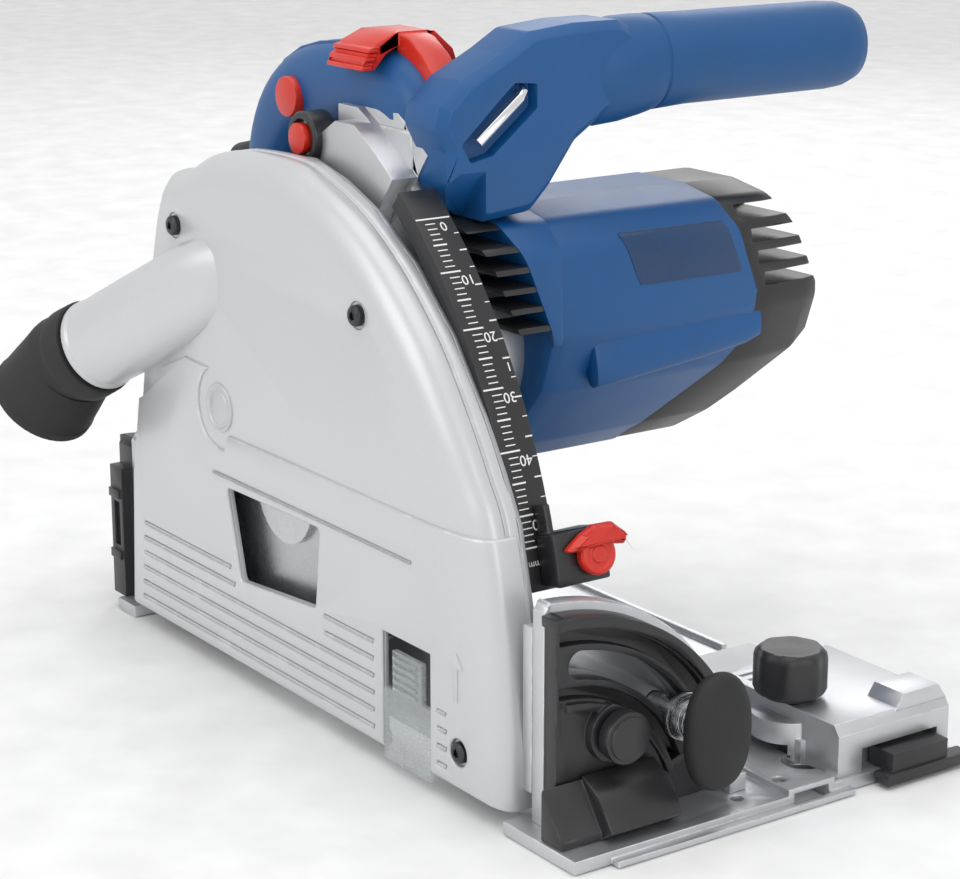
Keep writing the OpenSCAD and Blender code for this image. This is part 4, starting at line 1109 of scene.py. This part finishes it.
@dataclass
class Motor:
    """The blue motor housing with its label panel, ridge, intake grille and finned end cap."""

    centre: tuple[float, float] = (0, 0)
    near: float = 36
    far: float = 176
    slope_at: float = 35
    blue: Flat = ((20, 215), (124, 215), (124, 200), (138.5, 160), (134.5, 138.5), (101, 101), (96, 80),
                  (20, 80))
    end: Flat = ((145.5, 210), (173.5, 159), (173.5, 80), (220, 80), (220, 210))
    label_at: Flat = ((70, 190), (122, 189.6), (130.5, 168.8), (79, 169.3))
    grille_at: Flat = ((4, 199), (19.5, 199), (36.5, 157), (22, 157))
    cheek_at: Flat = ((19.5, 205), (42, 205), (42, 150), (38, 150), (36.5, 157), (19.5, 199))
    shape: Flat = ((-45, 33), (-28, 50), (-2, 56), (26, 56), (45, 52), (56, 41), (57, 8), (49, -15),
                   (27, -41),
                   (15, -50), (-6, -54), (-33, -46), (-50, -22), (-52, 8))

    def outline(self, by: float = 0.0) -> list[tuple[float, float]]:
        """The housing's outline about the motor's middle, moved inwards by a distance."""
        line = [(self.centre[0] + u, self.centre[1] + v) for u, v in self.shape]
        return round_corners(inset(line, by), 11, 4)

    def slope(self, name: str, lift: float = 0.0) -> Piece:
        """The block that cuts the oblique tail."""
        line = [(z + self.slope_at - lift, z) for z in (60, 175)] + [(250, 175), (250, 60)]
        return Piece.slab(name, line, Axis.X, self.centre[0] - 100, self.centre[0] + 100)

    def tube(self, name: str, rows: Flat) -> Piece:
        """A solid with the housing's outline, from (inset, distance along) stations."""
        return Piece.loft(name, [[Axis.Y.point(u, v, y) for u, v in self.outline(by)] for by, y in rows])

    def across(self, name: str, outline: Flat, low: float = -120.0, high: float = 120.0) -> Piece:
        """A tool that runs across the motor."""
        return Piece.slab(name, outline, Axis.X, low, high)

    def housing(self) -> Piece:
        """The crowned housing, ending at a bent line."""
        piece = self.tube("motor_shell", ((6, self.near), (1.6, self.near + 2.5), (0.4, self.near + 9),
                                          (0, self.near + 30), (0, self.far - 36), (0.6, self.far)))
        piece.keep(self.across("limit", self.blue))
        return piece.cut(self.slope("tail", 3))

    def ridge(self) -> Piece:
        """The long swelling on the lower front of the housing."""
        x = self.centre[0]
        rows = []
        for y, w, h in ((57.4, 0.5, 9), (58.2, 2.2, 10.6), (60, 2.9, 11), (75, 3.3, 11.2), (110, 3.4, 11.2),
                        (133, 3.2, 10.6), (141, 2.6, 9)):
            rows.append(section(Vector((x + 52.6 - (y - 57) * 0.01, y, 141.5 + (y - 57) * 0.095)),
                                Vector((1, 0, 0.25)).normalized(), Vector((-0.25, 0, 1)).normalized(),
                                w + 1.8, h, 2.8, 24))
        return Piece.loft("motor_ridge", rows).cut(self.across("behind", [(y + 40, z) for y, z in self.end]))

    def label(self) -> Piece:
        """The plain darker panel where a label would be."""
        x = self.centre[0]
        piece = Piece.slab("label_panel", round_corners(self.label_at, 1.2, 3), Axis.X, x + 50, x + 60)
        return piece.keep(self.tube("shell", ((-0.3, 40), (-0.3, 170))))

    def grille(self) -> Piece:
        """The intake grille at the motor's front corner: black slats with dark gaps."""
        x = self.centre[0]
        piece = self.across("grille_frame", self.grille_at, x + 14, x + 60)
        piece.keep(self.tube("shell", ((0.4, 0), (0.4, 80))))
        for i in range(5):
            low = 159.4 + 7.7 * i
            piece.cut(block("slot", (x + 24, -5, low), (x + 80, 60, low + 5.4)))
        return piece

    def cheek(self) -> Piece:
        """The part of the side that reaches forward over the grille, up to the neck."""
        x = self.centre[0]
        piece = self.across("motor_cheek", self.cheek_at, x + 12, x + 60)
        return piece.keep(self.tube("shell", ((0.2, 0), (0.2, 80))))

    def cap(self) -> Piece:
        """The black end cap with its long cooling fins, cut off obliquely."""
        piece = self.tube("end_cap_shell", ((0.5, 90), (0.5, 148), (2.5, 166), (5, self.far)))
        piece.cut(self.across("blue_part", [(y + 0.25, z) for y, z in self.blue]), self.slope("tail"),
                  self.across("end", self.end))
        x = self.centre[0]
        for i in range(4):
            low = 161.6 + 9 * i
            start = 129.5 + (196 - low) * 0.39
            for near, far in ((26, 90), (-90, -40)):
                piece.cut(block("gap", (x + near, start, low), (x + far, 230, low + 5.2)))
        return piece

    def build(self) -> None:
        """Builds and dresses the motor."""
        low, high = span_of("stator")
        self.centre = ((low.x + high.x) / 2, (low.z + high.z) / 2)
        self.housing().soften(0.5).hand_over("arm", BLUE, "motor_housing", ("motor_housing",), angle=45)
        self.ridge().hand_over("arm", BLUE, "motor_housing")
        self.label().soften(0.2).hand_over("arm", LABEL, "motor_housing")
        self.grille().soften(0.4).hand_over("arm", BLACK, "front_grille", ("front_grille",))
        self.cheek().soften(0.4).hand_over("arm", BLUE, "motor_housing")
        self.cap().soften(0.6).hand_over("arm", BLACK, "end_cap", ("end_cap",))


@dataclass
class DepthGauge:
    """The marked depth band, and the red pointer on its stop."""

    pivot: tuple[float, float] = (-117, 36)
    radius: float = 231
    zero: float = 46.6
    per_mm: float = 0.575
    stop_at: float = 13.7

    def spot(self, angle: float, y: float, lift: float) -> tuple[Vector, Vector, Vector]:
        """A place on the band, its outward direction and its downward direction."""
        a = math.radians(angle)
        out, down = Vector((math.cos(a), 0, math.sin(a))), Vector((math.sin(a), 0, -math.cos(a)))
        return Vector((self.pivot[0], y, self.pivot[1])) + out * (self.radius + lift), out, down

    def tick(self, angle: float, low: float, high: float, width: float) -> Piece:
        """One printed line across the band."""
        mid, out, down = self.spot(angle, 0, 0)
        rows = []
        for y in (low, high):
            here = mid + Vector((0, y, 0))
            rows.append([here - out * 0.3 - down * width, here + out * 0.12 - down * width,
                         here + out * 0.12 + down * width, here - out * 0.3 + down * width])
        return Piece.loft("tick", rows)

    def ticks(self) -> Piece:
        """Millimetre lines on one side and eighths of an inch on the other."""
        marks = [self.tick(self.zero, -19.6, -5, 0.3)]
        for n in range(1, 56):
            low, high = (-19.6, -11) if n % 10 == 0 else (-17.4, -11.6) if n % 5 == 0 else (-16.6, -12.4)
            marks.append(self.tick(self.zero - n * self.per_mm, low, high, 0.32 if n % 5 == 0 else 0.2))
        for n in range(1, 18):
            marks.append(self.tick(self.zero - n * 3.175 * self.per_mm, -7.4 if n % 2 == 0 else -6.4, -4.4,
                                   0.28 if n % 2 == 0 else 0.18))
        return marks[0].gather(*marks[1:])

    def number(self, word: str, angle: float, y: float, size: float) -> Piece:
        """One printed figure, read from above."""
        mid, out, down = self.spot(angle, y, 0.02)
        clear_selection()
        bpy.ops.object.text_add()
        text = bpy.context.object
        text.data.body, text.data.size = word, size
        text.data.align_x, text.data.align_y = "CENTER", "CENTER"
        text.data.extrude, text.data.resolution_u = 0.1, 3
        bpy.ops.object.convert(target="MESH")
        right = Vector((0, -1, 0))
        bpy.context.object.data.transform(Matrix((
            (right.x, down.x, out.x, mid.x), (right.y, down.y, out.y, mid.y),
            (right.z, down.z, out.z, mid.z), (0, 0, 0, 1))))
        return Piece(bpy.context.object, "figure")

    def figures(self) -> Piece:
        """The scale's numbers and its two units."""
        made = [self.number(str(n * 10), self.zero - (n * 10 + 1.6) * self.per_mm, -9.4,
                            5.6) for n in range(6)]
        made += [self.number(str(n), self.zero - (n * 25.4 + 1.4) * self.per_mm, -5.9, 4.8) for n in (1, 2)]
        made += [self.number("mm", self.zero - 57.6 * self.per_mm, -13.6, 3.6),
                 self.number("in", self.zero - 57.6 * self.per_mm, -6.6, 3.6)]
        return made[0].gather(*made[1:])

    def pointer(self) -> Piece:
        """The red clamp: a round screw head with a winged pointer."""
        a = math.radians(self.stop_at)
        out, up = Vector((math.cos(a), 0, math.sin(a))), Vector((-math.sin(a), 0, math.cos(a)))
        base = Vector((self.pivot[0], 4, self.pivot[1])) + out * 230
        disc = [[base + out * h + Vector((0, math.cos(t), 0)) * r + up * math.sin(t) * r
                 for t in (2 * math.pi * i / 40 for i in range(40))]
                for h, r in ((3, 4), (12.4, 4), (12.4, 7.4), (15.6, 7.6), (16.6, 6.8), (16.6, 5.4),
                             (16.0, 5.0),
                             (16.0, 3.4), (16.7, 3.0), (16.7, 0.05))]
        piece = Piece.loft("clamp_pointer", disc)
        wing = round_corners([(-14.4, 2.6), (-6, 8), (0, 10.6), (8, 10.4), (14, 5.4), (12.4, 1.6), (6, 2.6),
                              (-4, 1.8)], 1.2, 3)
        plate = Piece.loft("wing", [[base + out * h + Vector((0, u, 0)) + up * v for u, v in line]
                                    for h, line in ((12.6, wing), (15.0, wing), (17.4, inset(wing, 1.6)))])
        return piece.fuse(plate)

    def build(self) -> None:
        """Builds and dresses the gauge."""
        self.ticks().hand_over("head", WHITE, "depth_scale")
        self.figures().hand_over("head", WHITE, "depth_scale")
        self.pointer().soften(0.35).hand_over("depth_clamp", RED, "depth_clamp", ("depth_clamp",))


@dataclass
class Knobs:
    """Wing knobs on the quadrants and lobed knobs on the fence clamp."""

    bolt: tuple[float, float] = (23.7, 36.9)
    front_x: float = 148.4
    rear_x: float = -182.4

    def wing(self, name: str, x: float, way: int) -> Piece:
        """A crowned oval knob on a short stem."""
        side, up = Vector((0, 1, 0)), Vector((0, 0, 1))
        middle = Vector((0, self.bolt[0], self.bolt[1]))
        rows = [(12.4, 4, 5), (12.8, 9, 13), (13.4, 12.8, 20), (15, 13.9, 21.8), (18, 14, 22),
                (20.4, 13.2, 20.8),
                (22, 11.2, 18), (22.9, 7.6, 12.4), (23.2, 3.2, 5.6)]
        piece = Piece.loft(name, [section(middle + Vector((x + way * h, 0, 0)), side, up, w, t, 2.3, 40)
                                  for h, w, t in rows])
        return piece.smooth(1)

    def stem(self, name: str, x: float, way: int) -> Piece:
        """The knob's bright stem with its washer and spring turns."""
        profile = [(0, 8.6), (1.8, 8.6), (2, 6.2)]
        for turn in range(4):
            profile += [(2.4 + turn * 2.3, 7.0), (3.6 + turn * 2.3, 7.0), (4.0 + turn * 2.3, 5.6)]
        profile += [(13.5, 5.6)]
        return Piece.turned(name, [(x + way * h, r) for h, r in profile], self.bolt, Axis.X, 40)

    def lobed(self, name: str, centre: tuple[float, float], low: float, high: float, radius: float) -> Piece:
        """A knob with eight shallow lobes, a skirt and a dished top."""
        rows = []
        for z, r, deep in ((low, radius * 0.72, 0), (low + 1.6, radius * 0.76, 0),
                           (low + 2, radius * 0.95, 0.2),
                           (low + 3.4, radius, 0.7), (high - 3.6, radius, 1.0),
                           (high - 1.4, radius * 0.96, 0.9),
                           (high - 0.2, radius * 0.86, 0.5), (high, radius * 0.74, 0.1),
                           (high - 0.5, radius * 0.55, 0), (high - 0.6, 0.1, 0)):
            ring = []
            for i in range(64):
                a = 2 * math.pi * i / 64
                size = r - deep * (1 - math.cos(8 * a)) * 0.5
                ring.append(Vector((centre[0] + size * math.cos(a), centre[1] + size * math.sin(a), z)))
            rows.append(ring)
        return Piece.loft(name, rows)

    def build(self) -> None:
        """Builds and dresses the knobs."""
        for node, x, way in (("wing_knob_front", self.front_x, 1), ("wing_knob_rear", self.rear_x, -1)):
            self.wing(node + "_skin", x, way).hand_over(node, RUBBER, node, (node,))
            self.stem(node + "_stem", x, way).soften(0.25).hand_over(node, STEEL, node)
        for node, extra in (("fence_knob_front", 14.0), ("fence_knob_rear", 12.0)):
            low, high = span_of(node)
            middle = ((low.x + high.x) / 2, (low.y + high.y) / 2)
            top, height = high.z, 19 if node.endswith("front") else 14
            knob = self.lobed(node + "_skin", middle, top - height, top, extra)
            stem = Piece.turned("stem", [(low.z, 4), (top - height + 1, 4)], middle, Axis.Z, 24)
            knob.gather(stem).hand_over(node, BLACK, node, (node,))


INSIDE = {
    "spindle": STEEL, "flanges": STEEL, "blade_bolt": STEEL_DARK, "gear_wheel": GEAR_STEEL,
    "idler_gear": GEAR_STEEL, "idler_axle": STEEL, "motor_shaft": STEEL, "armature": COPPER,
    "commutator": COPPER, "fan": BLACK, "stator": GEAR_STEEL, "brushes": BRASS, "bearings": STEEL,
    "electronics": BOARD, "switch_body": BLACK, "return_spring": STEEL, "blade": BLADE_STEEL,
}
COPIES = {
    "base_plate": (CAST, 0.5), "fence_platform": (CAST, 0.25), "front_bracket": (CAST, 0.7),
    "front_cover": (BLACK, 0.8), "foot_lever": (BLACK, 1.2), "rear_bracket": (CAST, 0.7),
    "rear_cover": (BLACK, 0.8), "bevel_button": (BLACK, 0.6), "rail_cam_front": (GREEN_CAM, 0.5),
    "rail_cam_rear": (GREEN_CAM, 0.5), "rail_catch": (BLACK, 0.7), "guard_plate": (CAST_DARK, 0.4),
    "view_window": (WINDOW, 0.4), "depth_scale": (BAND, 0.4), "depth_stop": (BLACK, 0.9),
    "tilt_frame": (CAST, 0.8), "tilt_bolts": (STEEL, 0.4), "pivot_shaft": (STEEL, 0.4),
    "arm_casting": (CAST, 0.25), "gear_cover": (CAST, 0.25), "spindle_lock": (RED, 0.4),
    "trigger": (RED, 1.2), "speed_wheel": (RED, 0.7), "cord_gland": (RUBBER, 0.8),
}


class Studio:
    """Floor, lights and camera."""

    def build(self) -> None:
        """Sets the stage."""
        clear_selection()
        bpy.ops.mesh.primitive_plane_add(size=12.0, location=(0, 0, -0.0005))
        floor = bpy.context.object
        floor.name = "floor"
        floor.data.materials.append(FLOOR.material())
        world = bpy.data.worlds.new("soft_room")
        world.use_nodes = True
        world.node_tree.nodes["Background"].inputs[0].default_value = (1.0, 1.0, 1.0, 1.0)
        world.node_tree.nodes["Background"].inputs[1].default_value = 0.8
        bpy.context.scene.world = world
        self.panel("overhead", (0.1, 0.0, 1.5), (0.0, 0.0, 0.1), 1.4, 6.0)
        self.panel("key_left", (-0.2, -1.5, 0.9), (0.0, 0.0, 0.12), 0.9, 5.0)
        self.panel("front_fill", (1.5, -0.2, 0.7), (0.0, 0.0, 0.1), 0.9, 3.0)
        self.panel("back_rim", (-1.2, 1.2, 1.1), (0.0, 0.0, 0.15), 0.8, 5.0)
        bpy.context.scene.view_settings.view_transform = "Standard"
        self.camera()

    def panel(self, name: str, place: Sequence[float], aim: Sequence[float], size: float,
              watts: float) -> None:
        """Adds one soft light panel.

        Args:
            name: Its name.
            place: Where it hangs, in metres.
            aim: What it points at.
            size: Side of the square.
            watts: Power.
        """
        data = bpy.data.lights.new(name, "AREA")
        data.shape, data.size, data.energy = "SQUARE", size, watts
        lamp = bpy.data.objects.new(name, data)
        lamp.location = place
        lamp.rotation_euler = (Vector(aim) - Vector(place)).to_track_quat("-Z", "Y").to_euler()
        bpy.context.scene.collection.objects.link(lamp)

    def camera(self) -> None:
        """Places the camera: 55 degrees round, 15.5 degrees up."""
        data = bpy.data.cameras.new("view")
        data.lens, data.sensor_width = 94.61, 36.0
        data.clip_start, data.clip_end = 0.05, 50.0
        eye = bpy.data.objects.new("view", data)
        round_by, rise = math.radians(55), math.radians(15.5)
        back = Vector((math.sin(round_by) * math.cos(rise), -math.cos(round_by) * math.cos(rise),
                       math.sin(rise)))
        eye.rotation_euler = back.to_track_quat("Z", "Y").to_euler()
        eye.location = (0.79264, -0.51700, 0.37147)
        bpy.context.scene.collection.objects.link(eye)
        bpy.context.scene.camera = eye


def main() -> None:
    """Builds the saw's visible pieces in order."""
    logging.basicConfig(level=logging.INFO, format="%(name)s %(message)s")
    Studio().build()
    for node, finish in INSIDE.items():
        dress_inside(node, finish)
    for node, (finish, width) in COPIES.items():
        soft_copy(node, finish, width)
    for part in (GuardShell(), DustPort(), Handles(), Motor(), DepthGauge(), Knobs()):
        part.build()


if __name__ == "__main__":
    main()
